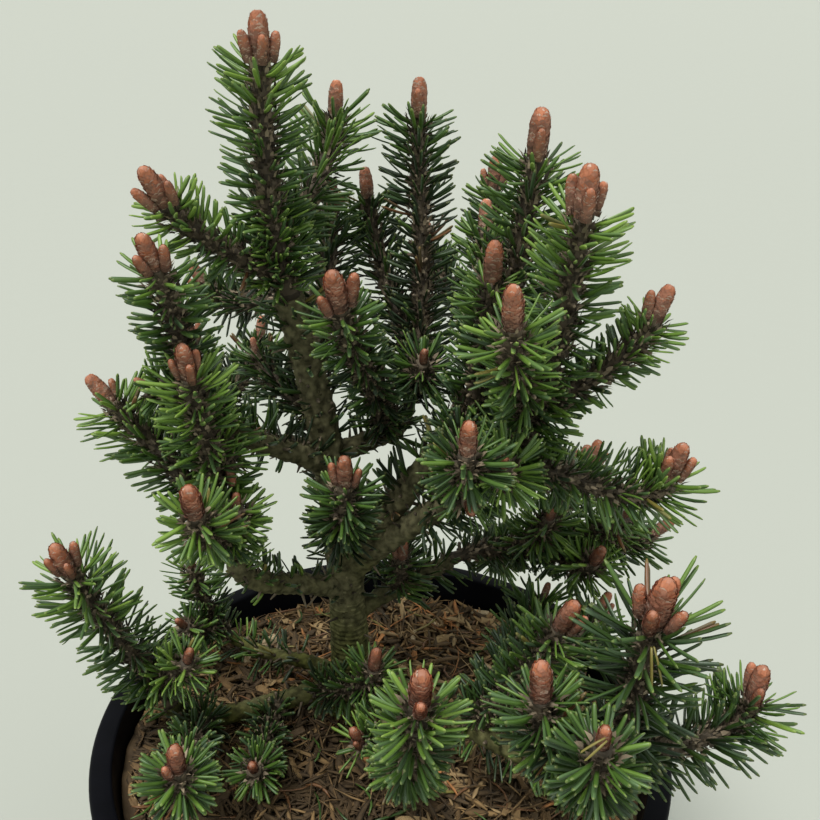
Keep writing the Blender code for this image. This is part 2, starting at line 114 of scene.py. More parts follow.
# Its strips stay this far below the rim and off the wall, and their ends a margin further off the wall
STRIP_ROOM = 1.5 * MM
WALL_MARGIN = 1.8 * MM
# Painted shade: strips of bark are dealt darker shades towards this side. PAINTED_SHADE_CHANCE is how likely
# a strip is to darken where that painted shade is deepest, and SHADED_MIDDLE_SHARE the share of that at the
# pot's axis
SHADED_SIDE = (-0.4, -0.92)
SHADED_MIDDLE_SHARE = 0.62
PAINTED_SHADE_CHANCE = 0.9
# Loose strips: their count, their sizes (lengths, widths, thickness as a share of the width), how high
# they lie above the bark, and their shades, of BARK_COLOURS or of the needles
FIBRES = (
    (1800, ((5, 18), (1.5, 3.6), 0.3), (-1.2, 0.5), (0, 0, 0, 1, 1, 2)),
    (1700, ((5, 20), (1.1, 2.8), 0.3), (0, 2.0), (0, 0, 1, 1, 2, 2, 3, 3, 4)),
    (900, ((7, 26), (0.4, 1.1), 0.6), (0.4, 2.4), (0, 1, 1, 2, 2, 3, 4)),
)
CHIPS = (240, ((5, 15), (2, 4), 0.25), (0.3, 2), (1, 2, 2, 3, 3, 4, 5))
LITTER = (260, ((9, 17), (0.9, 1.2), 0.7), (1.2, 2.8), (5, 6, 6, 6, 6, 1, 2))

# The trunk and the radii of limbs and stems
TRUNK_FOOT = (-12, 16, 0)
TRUNK_TIP = (-29, 12, 152)
TRUNK_LEAN = (-0.25, -0.1, 1)
TRUNK_RADIUS = 6.6 * MM
TRUNK_TIP_RADIUS = 4.1 * MM
FLARE_RADIUS = 9.5 * MM
FLARE_HEIGHT = 12 * MM
STEM_RADIUS = 2.5 * MM
STEM_TIP_RADIUS = 2.1 * MM
# How far a limb or stem follows its parent at first, the step that gives a direction, the points of it
# that needles keep clear of, and a way that none of them goes
LEAVE_ALONG = 0.35
DIRECTION_STEP = 0.01
STATIONS = 41
SKEW = (0.31, 0.87, 0.39)
UPWARD = np.array([0.0, 0.0, 1.0])
STEM_STEP = 1.3 * MM
STEM_CORNERS = 10
STEM_UNEVEN = 0.1

# The bark of limbs: steps of its mesh, how much of the trunk is sunk in the potting bark, pegs that
# fallen needles leave, lumps (height, size) in millimetres, rings near the trunk's foot, and how each
# bough swells where it leaves its parent
TRUNK_STEP, BOUGH_STEP = 0.5 * MM, 0.7 * MM
TRUNK_SUNK = 0.035
PEG_PITCH = 0.42 * MM
PEG_SIZE = 0.95 * MM
PEG_HEIGHT = 0.55 * MM
LUMPS = ((0.30, 3.5), (0.16, 1.2))
GROOVE_DEPTH = 0.24 * MM
RING_PITCH = 1.9 * MM
RING_HEIGHT = 0.2 * MM
RINGED_HEIGHT = 75 * MM
SWELL, SWELL_HEIGHT = 0.3, 5 * MM

# Needles: in pairs, each pair in a brown sheath, on a spiral up the stem
PAIR_PITCH = 0.42 * MM
BARE_SHARE, TOP_SHARE = 0.05, 0.975
SPIRAL_WANDER = 0.12
ROOT_DEPTH = 0.55
SPREAD_LOW = math.radians(80)
SPREAD_TOP = math.radians(68)
SPREAD_WANDER = math.radians(8)
DIRECTION_WANDER = 0.06
PAIR_OPENING = math.radians(6)
OPENINGS = (0.6, 1.7)
PAIR_LENGTHS = (0.93, 1.03)
FORWARD_CURL = 0.06
CURL_WANDER = 0.05
# The needles of a leaning shoot lift towards the light, the more the more it leans, and all curl up a little
LIFT = 0.32
LIFT_CURL = 0.05
NEEDLE_HALF_WIDTH = 0.56 * MM
NEEDLE_LENGTHS = (0.84, 1.14)
# At these millimetres below the tip of a shoot: the share of needles kept, how long they are, and by
# how many tints they are lighter, as painted light at the tip and painted shade further in, besides the
# paler new needles at the tip
BELOW_TIP = (0, 3, 12, 30)
CROWDING_BELOW = (1, 1, 1, 0.75)
LENGTH_BELOW = (0.85, 1.0, 1.0, 0.85)
LIT_BELOW = (1.0, 0.8, 0.2, -0.8)
# A needle takes the longest of these shares of its length with all its probes, at these shares of it, in
# open space: this far from limbs, bark and box, and from other stems
NEEDLE_SHORTENINGS = (1.0, 0.8, 0.6)
NEEDLE_PROBES = (0.5, 0.8, 1.06)
NEEDLE_ROOM = 0.8 * MM
SHOOT_ROOM = 3.2 * MM
SHEATH_LENGTH = 3.4 * MM
SHEATH_LENGTHS = (0.75, 1.15)
SHEATH_RADIUS = 0.74 * MM
SHEATH_CORNERS = 5

# A needle's widths along it, its section, and whether each of its faces is outside (0), inside (1) or tip (2)
NEEDLE_SHARES = np.array([0, 0.35, 0.7, 0.93, 1])
NEEDLE_WIDTHS = np.array([0.75, 1, 1, 0.85, 0.4])
HALF_ROUND = np.array([(1, 0.0), (-1, 0.0), (-0.6, -0.8), (0.6, -0.8)])
NEEDLE_PARTS = np.array([2 if r == 3 else (1 if k == 0 else 0) for r in range(4) for k in range(4)] + [0, 2])

# Papery scales between the needles, and the collar of them that a year of growth leaves
SCALE_PITCH = 0.1 * MM
COLLAR_PITCH = 0.05 * MM
COLLAR = (0.46, 0.5)
SCALE_FEET = (-0.2, 2.2)
SCALE_HALF_WIDTH = 0.45 * MM
SCALE_RISE, SCALE_LIFT = 1.8 * MM, 1.4 * MM
SCALE_FACES = [np.array([[0, 1, 2, 3]]), np.array([[3, 2, 4]])]

# Buds
BUD_LENGTH = 10.9 * MM
BUD_RADIUS = 2.4 * MM
BUD_ROWS = 17
BUD_SCALES_A_ROW = 9
BUD_RINGS = np.array([0, 0.25, 0.5, 0.7, 0.85, 0.94, 0.985])
BUD_CORE = 0.94
BUD_TOP_ROW = 0.93
BUD_SCALE_REACH = 0.12
BUD_SCALE_LIFT = np.array([0.0, 0.05, 0.12])
BUD_SCALE_WIDTH = 1.12
# How many of the scales are pale with resin: on their lower half, and at their tip
RESIN = (0.12, 0.4)
SIDE_BUD_SHARE = 0.74
SIDE_BUD_WIDTH = 0.62
SIDE_BUD_TILT = math.radians(16)
SIDE_BUD_OFFSET = 1.15

# A limb leaves its parent at a share of its length, and turns up by a share towards its tip
Limb = namedtuple("Limb", "name parent at tip radius tip_radius up")

BOUGHS = (
    Limb("bough_left_upper", "trunk", 0.62, (-44, -6, 119), 3.3, 2.6, 0.2),
    Limb("bough_right_upper", "trunk", 0.64, (5, 26, 110), 3.2, 2.6, 0.7),
    Limb("bough_right_main", "trunk", 0.35, (17, 4, 111), 4.6, 3.4, 0.0),
    Limb("bough_right_low", "bough_right_main", 0.05, (29, -8, 108), 4.1, 2.9, 0.1),
    Limb("bough_left_low", "trunk", 0.31, (-44, -14, 82), 3.5, 2.6, 0.9),
    Limb("bough_right_back", "trunk", 0.24, (22, 32, 51), 2.9, 2.4, 0.0),
    Limb("bough_back_left", "trunk", 0.65, (-57, 47, 92), 2.7, 2.1, 0.2),
    Limb("bough_left_soil", "trunk", 0.035, (-71, -2, 14), 3.3, 2.7, 0.75),
    Limb("bough_front_right", "trunk", 0.09, (50, -50, 40), 3.6, 2.7, 0.2),
    Limb("bough_front", "bough_front_right", 0.16, (6, -50, 38), 2.7, 2.2, 0.4),
    Limb("bough_back_low", "trunk", 0.07, (-58, 36, 12), 2.2, 2.0, 0.3),
    Limb("bough_back_high", "bough_right_main", 0.55, (30, 44, 118), 2.9, 2.3, 0.4),
)

# A shoot leaves its parent at a share of its length, reaches its tip and turns up there by a share. bud is
# the size of its bud, and needle the length in millimetres of its needles beyond their sheaths
Shoot = namedtuple("Shoot", "at tip up bud side_buds needle", defaults=(0, 9.2))

# Each mass: the limb it leaves, the tint of its sprays from shaded (0) to sunlit (4), which paints light
# and shade, and its shoots
MASSES = {
    "shoots_crown": ("trunk", 2.6, (
        Shoot(1, (-33.5, 8, 215), 0.9, 1.1, 4, 11.5),
        Shoot(0.14, (-18, 45, 199), 0.8, 0.9, 0, 11.5),
        Shoot(0.05, (-56, -8, 182), 0.4, 1.0, 3, 8.4),
    )),
    "shoots_left_upper": ("bough_left_upper", 1.8, (
        Shoot(1, (-54, -29, 171), 0.0, 0.9, 3, 8.8),
        Shoot(0.3, (-63, -15, 135), 0.3, 0.4, 0, 8),
        Shoot(0.08, (-42, -20, 113), 0.2, 0.5, 0, 8.8),
    )),
    "shoots_left_low": ("bough_left_low", 2.6, (
        Shoot(1, (-48, -30, 144), 0.0, 0.9, 3, 10),
        Shoot(0.06, (-44, -50, 117), 0.5, 1.0, 0, 9),
        Shoot(0.14, (-74.5, -12, 128.5), 0.0, 0.9, 1, 10.5),
        Shoot(0.05, (-39, -28, 106), 0.6, 0.5, 0, 8),
    )),
    "shoots_left_tip": ("bough_left_soil", 2.3, (
        Shoot(1, (-90, -20, 79), 0.2, 1.0, 3, 13),
        Shoot(0.2, (-60, -16, 44), 0.6, 0.6, 0, 8.8),
    )),
    "shoot_left_front": ("bough_left_soil", 2.2, (Shoot(0.7, (-51, -62, 48), 0.8, 0.9, 1),)),
    "shoot_left_inner": ("bough_left_soil", 1.6, (Shoot(0.36, (-38, -32, 17), 0.6, 0.6, 0, 7.5),)),
    "shoots_back_low": ("bough_back_low", 1.3, (
        Shoot(1, (-71, 36, 43), 0.7, 0.65, 0, 8.8),
        Shoot(0.15, (-72, 24, 26), 0.4, 0.55, 0, 8),
    )),
    "shoots_back_left": ("bough_back_left", 1.5, (
        Shoot(1, (-71, 62, 120), 0.5, 0.9, 2),
        Shoot(0.12, (-80, 38, 92), 0.6, 0.8, 1),
        Shoot(0.16, (-50, 78, 116), 0.6, 0.8),
    )),
    "shoot_trunk_front": ("trunk", 1.5, (Shoot(0.44, (-11, -18, 108), 0.8, 0.9, 2),)),
    "shoots_behind": ("trunk", 1.2, (
        Shoot(0.77, (-20, 50, 170), 0.9, 0.9, 2, 10),
        Shoot(0.5, (-62, 50, 144), 0.6, 0.8, 1),
    )),
    "shoot_trunk_side": ("trunk", 1.0, (Shoot(0.73, (-42, 30, 128), 0.6, 0.5, 0, 9),)),
    "shoot_right_crest": ("bough_right_upper", 2.1, (Shoot(0.6, (-12, -18, 159), 0.3, 1.1, 2),)),
    "shoots_right_upper": ("bough_right_upper", 0.9, (
        Shoot(1, (7, 50, 199), 0.7, 1.0, 1, 11),
        Shoot(0.12, (-9, 60, 172), 0.6, 0.9, 1),
        Shoot(0.1, (10, 10, 134), 0.5, 0.5),
    )),
    "shoots_centre": ("bough_right_main", 1.8, (
        Shoot(1, (37, 0, 194.5), 0.8, 1.1, 2, 11.5),
        Shoot(0.3, (28, 36, 167), 0.7, 0.9),
        Shoot(0.24, (27, -8, 164), 0.7, 1.0, 1),
        Shoot(0.06, (20, -48, 134), 0.8, 0.85),
        Shoot(0.1, (23, -24, 107), 0.3, 0.6, 0, 8.8),
        Shoot(0.12, (36, 16, 128), 0.4, 0.5),
    )),
    "shoots_right": ("bough_right_low", 2.5, (
        Shoot(1, (45.5, -26, 185), 0.8, 1.1, 3, 11),
        Shoot(0.28, (29, -43, 163), 0.7, 1.0, 0, 10),
        Shoot(0.28, (68, -16, 157), 0.6, 0.9, 1, 7.3),
        Shoot(0.05, (77.5, -18, 113), 0.8, 1.0, 3, 11.5),
        Shoot(0.1, (62, 24, 94), 0.6, 0.7, 1, 8),
        Shoot(0.05, (30, -36, 124), 0.5, 0.5, 0, 10),
    )),
    "shoots_right_back": ("bough_right_back", 2.1, (
        Shoot(1, (89, 24, 69), 0.4, 0.8),
        Shoot(0.3, (52, 14, 80), 0.6, 0.6),
        Shoot(0.45, (66, 6, 69), 0.6, 0.8),
        Shoot(0.4, (74, 60, 76), 0.6, 0.9, 2),
        Shoot(0.22, (43, 55, 40), 0.3, 0.7, 1),
        Shoot(0.5, (75, 10, 84), 0.4, 0.5, 0, 8.8),
    )),
    "shoot_back_inner": ("bough_right_back", 1.2, (
        Shoot(0.45, (5, 22, 58), 0.6, 0.7, 1),
        Shoot(0.3, (4, 52, 58), 0.6, 0.7, 1),
    )),
    "shoots_back_high": ("bough_back_high", 1.5, (
        Shoot(1, (33, 70, 174), 0.7, 1.0, 2),
        Shoot(0.2, (58, 48, 160), 0.7, 0.9, 1),
        Shoot(0.15, (12, 84, 150), 0.7, 0.9, 1),
        Shoot(0.12, (56, 72, 124), 0.5, 0.8),
    )),
    "shoots_front_right": ("bough_front_right", 1.4, (
        Shoot(1, (62, -70, 104), 0.5, 1.2, 4, 15),
        Shoot(0.1, (100, -46, 61.5), 0.9, 1.0, 2, 12.5),
        Shoot(0.12, (37, -78, 89), 0.8, 1.0, 0, 10),
        Shoot(0.05, (47, -95, 92), 0.7, 0.6),
    )),
    "shoots_right_inner": ("bough_front_right", 1.5, (
        Shoot(0.6, (48, -38, 77), 0.3, 1.0, 1),
        Shoot(0.2, (68, 0, 54), 0.5, 0.7, 1),
        Shoot(0.15, (52, 10, 52), 0.4, 0.5, 0, 11.5),
    )),
    "shoot_front": ("bough_front", 2.5, (Shoot(1, (10, -84, 92), 0.6, 1.0, 1),)),
    "shoot_front_inner": ("bough_front", 2.0, (Shoot(0.5, (-6, -30, 27), 0.7, 0.7, 1),)),
    "shoot_foot": ("bough_left_soil", 1.4, (Shoot(0.18, (-3, -10, 38), 0.8, 0.8),)),
}

# Needle pairs on the limbs, and more of them on the first shoot of some masses, from start to end of its
# length: tint paints light and shade as for a mass, density is pairs a millimetre, and side the side of the
# limb (1 upper, -1 lower, 0 both)
Sparse = namedtuple("Sparse", "limb start tint end density length side", defaults=(1.0, 0.9, 8.5, 0))
SPARSE_NEEDLES = (
    Sparse("shoots_crown", 0.06, 4.0, 0.4, 3.6, 10.5),
    Sparse("shoots_right", 0.08, 4.0, 0.42, 1.5, 14),
    Sparse("shoot_trunk_front", 0.02, 1.2, 0.55, 1.6, 12),
    Sparse("trunk", 0.66, 0.8, density=1.3, length=9.5),
    Sparse("trunk", 0.3, 0.8, 0.62),
    Sparse("bough_left_upper", 0.75, 1.2, length=8),
    Sparse("shoot_trunk_side", 0.0, 0.9, 0.5, 1.2, 9),
    Sparse("bough_left_upper", 0.15, 0.8, 0.8, 1.6, 11, 1),
    Sparse("bough_right_upper", 0.5, 1.2),
    Sparse("bough_right_upper", 0.25, 1.0, 0.9, 2.4, 11, 1),
    Sparse("bough_right_main", 0.55, 1.6, density=0.8),
    Sparse("bough_right_main", 0.3, 1.2, 0.7, 2.6, 12, 1),
    Sparse("bough_right_low", 0.55, 1.0, density=1.5, length=10),
    Sparse("bough_right_low", 0.6, 0.6, density=2.4, length=12, side=-1),
    Sparse("bough_right_back", 0.3, 0.8, density=1.3, length=9),
    Sparse("bough_back_left", 0.35, 1.0),
    Sparse("bough_back_high", 0.35, 1.2),
    Sparse("bough_left_low", 0.8, 2.0),
    Sparse("bough_left_low", 0.25, 1.3, 0.8, 1.6, 8, 1),
    Sparse("bough_left_low", 0.3, 5.0, 0.8, 0.3, 6),
    Sparse("bough_left_soil", 0.75, 1.6, density=0.7, length=8),
    Sparse("bough_front_right", 0.45, 1.4),
    Sparse("bough_front", 0.4, 1.6),
    Sparse("bough_back_low", 0.4, 1.2, length=8),
)
# Dead pairs of needles that still hang on the front shoots: the place, the way they point, the length
DEAD_NEEDLES = (
    ((60.5, -75, 103), (0.17, -0.2, -1), 10),
    ((48, -98, 98), (-0.75, -0.15, -0.55), 6),
)
STUB_DENSITY = 0.32
STUB_LENGTHS = (1.5 * MM, 6 * MM)

# How far tints stray from spray to spray and from needle to needle, and how many needles are dry
SPRAY_STRAY, TINT_STRAY = 0.25, 0.6
DRY_NEEDLE_SHARE = 0.012

# Plain colours, dealt out by spray: the outside of a needle from shaded to sunlit, painted light and shade
GREENS = (
    (0.013, 0.027, 0.006),
    (0.029, 0.064, 0.011),
    (0.060, 0.124, 0.019),
    (0.112, 0.205, 0.030),
    (0.180, 0.300, 0.046),
)
DRY_GREENS = ((0.20, 0.17, 0.04), (0.16, 0.075, 0.03))
INNER_TINGE, INNER_SHARE = (0.13, 0.21, 0.13), 0.3
TIP_TINGE, TIP_SHARE = (0.30, 0.33, 0.10), 0.22
TWIG_COLOURS = ((0.045, 0.034, 0.021), (0.100, 0.077, 0.050), (0.175, 0.137, 0.092), (0.29, 0.23, 0.155))
BUD_COLOURS = (
    (0.21, 0.118, 0.088),
    (0.33, 0.168, 0.118),
    (0.40, 0.178, 0.114),
    (0.45, 0.170, 0.090),
    (0.53, 0.370, 0.290),
)
# Bark of the limbs: olive near the ground, grey-brown above, then the painted shade that darkens its
# grooves and the painted highlight that pales the ridges of the trunk's rings
OLIVE_BARK, BROWN_BARK = (0.068, 0.072, 0.018), (0.112, 0.104, 0.056)
GROOVE_PAINTED_SHADE = 0.40
RIDGE_PAINTED_HIGHLIGHT = 1.55
OLIVE_HEIGHT = 95 * MM
# Where noise turns from dark to light: in a mottled colour, and with how dark and light in the bark's grain
MOTTLE = (0.32, 0.68)
GRAIN = ((0.34, 0.45), (0.66, 1.6))
BUMP_STRENGTH = 0.7
BARK_COLOURS = (
    (0.070, 0.043, 0.018),
    (0.140, 0.084, 0.034),
    (0.240, 0.150, 0.062),
    (0.345, 0.235, 0.112),
    (0.410, 0.180, 0.062),
    (0.470, 0.360, 0.220),
)
POT_COLOUR = (0.0028, 0.0030, 0.0048)
FLOOR_COLOUR = (0.405, 0.425, 0.385)
# The floor is flat round the pot, and then rises to its edge, in metres
FLOOR_FLAT, FLOOR_RUN, FLOOR_RISE, FLOOR_SIDES = 1.5, 18.0, 3.0, 96
WORLD_COLOUR, WORLD_STRENGTH = (0.96, 1.0, 0.94), 0.6
SUN_DISTANCE = 1.5
# The lights: the way to them, their power, their softness in degrees and their colour
SUNS = {
    "key": ((-0.35, -0.35, 1.2), 3.0, 20, (1, 0.985, 0.95)),
    "fill": ((0.9, -0.4, 0.8), 0.4, 60, (1, 1, 0.98)),
}

# The photograph's camera: its place, how far it looks down, its roll and its lens
CAMERA_PLACE = (6.5 * MM, -230.4 * MM, 367.3 * MM)
CAMERA_PITCH = math.radians(24.06)
CAMERA_ROLL = math.radians(1.36)
CAMERA_LENS = 38.63


def plant_point(place):
    """A point of the plant in metres, from its millimetres at the bark's surface."""
    return np.array(place, float) * MM + np.array([0, 0, BARK_TOP + GAP])


def unit(vectors):
    vectors = np.asarray(vectors, float)
    return vectors / np.linalg.norm(vectors, axis=-1, keepdims=True)


def around(forward):
    """Two directions square to each forward direction and to each other."""
    side = unit(np.cross(forward, SKEW))
    return side, np.cross(forward, side)


def spokes(angles, side, across):
    """The way out at each angle round a line, from two directions square to it."""
    return np.cos(angles)[..., None] * side + np.sin(angles)[..., None] * across


def mixed(colour, other, share):
    return tuple(a + (b - a) * share for a, b in zip(colour, other))


class Axis:
    """The centre line of a limb or shoot, by shares of its length. radius gives its radius at a share."""

    def __init__(self, start, leave, end, arrive, radius):
        self.start, self.leave = start, unit(leave)
        self.end, self.arrive = end, unit(arrive)
        self.radius = radius

    def point(self, share):
        t = np.asarray(share, float)[..., None]
        reach = np.linalg.norm(self.end - self.start)
        return (
            (2 * t**3 - 3 * t**2 + 1) * self.start
            + (t**3 - 2 * t**2 + t) * reach * self.leave
            + (3 * t**2 - 2 * t**3) * self.end
            + (t**3 - t**2) * reach * self.arrive
        )

    def direction(self, share):
        before = np.maximum(np.asarray(share) - DIRECTION_STEP, 0)
        after = np.minimum(np.asarray(share) + DIRECTION_STEP, 1)
        return unit(self.point(after) - self.point(before))

    def radii(self, shares):
        return np.broadcast_to(self.radius(shares), np.shape(shares))

    def length(self):
        stations = self.point(np.linspace(0, 1, 17))
        return np.linalg.norm(np.diff(stations, axis=0), axis=1).sum()


def trunk_radius(share):
    """The trunk's taper, with the flare of its root."""
    above = TRUNK_RADIUS + (TRUNK_TIP_RADIUS - TRUNK_RADIUS) * share
    height = share * (TRUNK_TIP[2] - TRUNK_FOOT[2]) * MM
    return above + (FLARE_RADIUS - TRUNK_RADIUS) * np.exp(-height / FLARE_HEIGHT)


def taper(first, last):
    return lambda share: first + (last - first) * share


def branch_axis(parent, at, tip, up, radius):
    """The line of a limb that leaves parent at a share of its length and turns up towards its tip."""
    along = parent.direction(at)
    end = plant_point(tip)
    if at == 1:
        start = parent.point(1) + along * GAP
        leave = along
    else:
        start = parent.point(at)
        leave = LEAVE_ALONG * along + unit(end - start)
    arrive = (1 - up) * unit(end - start) + up * UPWARD
    return Axis(start, leave, end, arrive, radius)


def limb_axes():
    foot, tip = plant_point(TRUNK_FOOT), plant_point(TRUNK_TIP)
    axes = {"trunk": Axis(foot, UPWARD, tip, TRUNK_LEAN, trunk_radius)}
    for bough in BOUGHS:
        radius = taper(bough.radius * MM, bough.tip_radius * MM)
        axes[bough.name] = branch_axis(axes[bough.parent], bough.at, bough.tip, bough.up, radius)
    return axes


def shoot_axes(parent, shoots):
    """The stems of a mass: the first leaves its parent limb and the others leave the first."""
    foot = 0.92 * parent.radius(1.0) if shoots[0].at == 1 else STEM_RADIUS
    first = branch_axis(parent, shoots[0].at, shoots[0].tip, shoots[0].up, taper(foot, STEM_TIP_RADIUS))
    thin = taper(STEM_RADIUS, STEM_TIP_RADIUS)
    return [first] + [branch_axis(first, s.at, s.tip, s.up, thin) for s in shoots[1:]]


def hashed(cells, seed):
    """A number from 0 to 1 for each whole-number cell, always the same one."""
    mixed_up = (cells @ np.array([73856093, 19349663, 83492791]) + seed * 2654435761) & 0xFFFFFFFF
    mixed_up = ((mixed_up ^ (mixed_up >> 15)) * 2246822519) & 0xFFFFFFFF
    mixed_up = ((mixed_up ^ (mixed_up >> 13)) * 3266489917) & 0xFFFFFFFF
    return (mixed_up ^ (mixed_up >> 16)) / 0xFFFFFFFF


def noise(points, size, seed):
    """Smooth noise from -1 to 1 at each point, with features of the given size."""
    spots = points / size
    low = np.floor(spots).astype(np.int64)
    part = spots - low
    ease = part * part * (3 - 2 * part)
    total = 0
    for corner in np.ndindex(2, 2, 2):
        weight = np.prod(np.where(corner, ease, 1 - ease), axis=-1)
        total = total + weight * hashed(low + np.array(corner), seed)
    return 2 * total - 1


def lumpy(points, lumps, seed):
    """Heights from noise of several sizes. lumps gives the height and size of each in millimetres."""
    return sum(height * MM * noise(points, size * MM, seed + k) for k, (height, size) in enumerate(lumps))


def linked(name, data):
    """A new object in the scene."""
    made = bpy.data.objects.new(name, data)
    bpy.context.scene.collection.objects.link(made)
    return made


class Heap:
    """Gathers many small pieces into one mesh, with the material of each face."""

    def __init__(self):
        self.points, self.faces, self.shades, self.count = [], [], [], 0

    def add(self, points, faces, shades):
        """Adds copies of one shape. points is (copies, points, 3), and faces lists arrays of faces.

        shades is (copies, faces), or anything that broadcasts to it, with the faces in that order.
        """
        copies, each = points.shape[:2]
        first = self.count + each * np.arange(copies)[:, None, None]
        total = sum(len(group) for group in faces)
        shades = np.broadcast_to(shades, (copies, total))
        done = 0
        for group in faces:
            self.faces.append((first + group[None]).reshape(-1, group.shape[1]))
            self.shades.append(shades[:, done : done + len(group)].ravel())
            done += len(group)
        self.points.append(points.reshape(-1, 3))
        self.count += copies * each

    def build(self, name, materials, smooth=True):
        mesh = bpy.data.meshes.new(name)
        points = np.concatenate(self.points).astype(np.float32)
        corners = np.concatenate([group.ravel() for group in self.faces]).astype(np.int32)
        sizes = np.concatenate([np.full(len(group), group.shape[1]) for group in self.faces])
        starts = np.concatenate([[0], np.cumsum(sizes)[:-1]]).astype(np.int32)
        mesh.vertices.add(len(points))
        mesh.vertices.foreach_set("co", points.ravel())
        mesh.loops.add(len(corners))
        mesh.loops.foreach_set("vertex_index", corners)
        mesh.polygons.add(len(sizes))
        mesh.polygons.foreach_set("loop_start", starts)
        mesh.polygons.foreach_set("material_index", np.concatenate(self.shades).astype(np.int32))
        mesh.polygons.foreach_set("use_smooth", np.full(len(sizes), smooth))
        mesh.update(calc_edges=True)
        for material in materials:
            mesh.materials.append(material)
        return linked(name, mesh)


def tube_faces(rings, corners):
    """The faces of a tube: its sides ring by ring, then both end caps."""
    ring, corner = np.meshgrid(np.arange(rings - 1), np.arange(corners), indexing="ij")
    low, beside = ring * corners + corner, ring * corners + (corner + 1) % corners
    sides = np.stack([low, beside, beside + corners, low + corners], axis=-1).reshape(-1, 4)
    cap = np.arange(corners)
    return [sides, np.stack([cap[::-1], cap + (rings - 1) * corners])]


def sweep(heap, lines, sides, acrosses, outline, shades):
    """Adds tubes along lines (copies, rings, 3). outline is (..., rings, corners, 2), across each line.

    sides and acrosses are the outline's two directions, and broadcast to the lines.
    """
    outline = np.broadcast_to(outline, (len(lines), lines.shape[1]) + outline.shape[-2:])
    offsets = outline[..., :1] * sides[:, :, None] + outline[..., 1:] * acrosses[:, :, None]
    points = lines[:, :, None] + offsets
    rings, corners = outline.shape[1:3]
    heap.add(points.reshape(len(lines), rings * corners, 3), tube_faces(rings, corners), shades)


def solid(name, points, faces, materials):
    """One piece from its points and faces."""
    heap = Heap()
    heap.add(points[None], faces, 0)
    return heap.build(name, materials)


def circle(corners):
    angles = 2 * math.pi * np.arange(corners) / corners
    return np.stack([np.cos(angles), np.sin(angles)], axis=-1)


# Materials
def feed(tree, made, **inputs):
    """Gives a node's inputs, named with an underline for a space, values or the outputs of nodes."""
    for name, given in inputs.items():
        socket = made.inputs[name.replace("_", " ")]
        if isinstance(given, bpy.types.NodeSocket):
            tree.links.new(given, socket)
        else:
            socket.default_value = given


def node(tree, kind, output, **inputs):
    """The output of a new node that is fed the given inputs."""
    made = tree.nodes.new(f"ShaderNode{kind}")
    feed(tree, made, **inputs)
    return made.outputs[output]


def noise_value(tree, scale, detail=4.0):
    """The value of a noise texture in the frame's own coordinates."""
    return node(tree, "TexNoise", "Fac", Vector=node(tree, "TexCoord", "Object"), Scale=scale, Detail=detail)


def ramp(tree, value, *stops):
    """The colour for a value, between two stops, each a value and its colour."""
    made = node(tree, "ValToRGB", "Color", Fac=value)
    for element, (position, colour) in zip(made.node.color_ramp.elements, stops):
        element.position, element.color = position, (*colour, 1)
    return made


def surface(name, colour, roughness, scale, depth, varied=0.0, sheen=0.5):
    """A plain base colour, with roughness and fine relief from noise of the given scale.

    varied mottles the colour by that share, and roughness is (smoothest, roughest).
    """
    material = bpy.data.materials.new(name)
    material.use_nodes = True
    tree = material.node_tree
    value = noise_value(tree, scale)
    spread = node(tree, "MapRange", "Result", Value=value, To_Min=roughness[0], To_Max=roughness[1])
    bump = node(tree, "Bump", "Normal", Height=value, Strength=BUMP_STRENGTH, Distance=depth)
    shader = tree.nodes["Principled BSDF"]
    feed(tree, shader, Base_Color=(*colour, 1), Specular_IOR_Level=sheen, Roughness=spread, Normal=bump)
    if varied:
        stops = [(at, [c * shade for c in colour]) for at, shade in zip(MOTTLE, (1 - varied, 1 + varied))]
        feed(tree, shader, Base_Color=ramp(tree, noise_value(tree, scale / 3), *stops))
    return material


def bark_surface(name, shade):
    """Bark of the limbs: olive near the ground and grey-brown above, in soft patches with a fine grain."""
    material = surface(name, OLIVE_BARK, (0.75, 0.98), 450, 0.35 * MM, sheen=0.15)
    tree = material.node_tree
    level = node(tree, "SeparateXYZ", "Z", Vector=node(tree, "TexCoord", "Object"))
    heights = {"From_Min": BARK_TOP, "From_Max": BARK_TOP + OLIVE_HEIGHT}
    height = node(tree, "MapRange", "Result", Value=level, **heights, To_Min=-1, To_Max=0.3)
    patches = tree.nodes.new("ShaderNodeMath")
    patches.operation, patches.use_clamp = "MULTIPLY_ADD", True
    patches.inputs[1].default_value = 2
    tree.links.new(noise_value(tree, 60), patches.inputs[0])
    tree.links.new(height, patches.inputs[2])
    olive, brown = [(*(c * shade for c in colour), 1) for colour in (OLIVE_BARK, BROWN_BARK)]
    base = node(tree, "MixRGB", "Color", Fac=patches.outputs["Value"], Color1=olive, Color2=brown)
    stops = [(at, (tone,) * 3) for at, tone in GRAIN]
    grain = ramp(tree, noise_value(tree, 420, detail=6), *stops)
    whole = node(tree, "MixRGB", "Color", Fac=1, Color1=base, Color2=grain)
    whole.node.blend_type = "MULTIPLY"
    feed(tree, tree.nodes["Principled BSDF"], Base_Color=whole)
    return material


def needle_materials():
    """Outside, inside and tip of a needle for each tint, and then the dry ones."""
    parts = (("", INNER_TINGE, 0), ("_inner", INNER_TINGE, INNER_SHARE), ("_tip", TIP_TINGE, TIP_SHARE))
    made = []
    for number, colour in enumerate(GREENS + DRY_GREENS):
        for part, tinge, share in parts:
            shade = mixed(colour, tinge, share)
            made.append(surface(f"needle_{number}{part}", shade, (0.34, 0.5), 900, 0.05 * MM))
    return made


def shades_of(kind, colours, roughness, scale, depth, varied=0.0, sheen=0.5):
    finish = (roughness, scale, depth, varied, sheen)
    return [surface(f"{kind}_{number}", colour, *finish) for number, colour in enumerate(colours)]


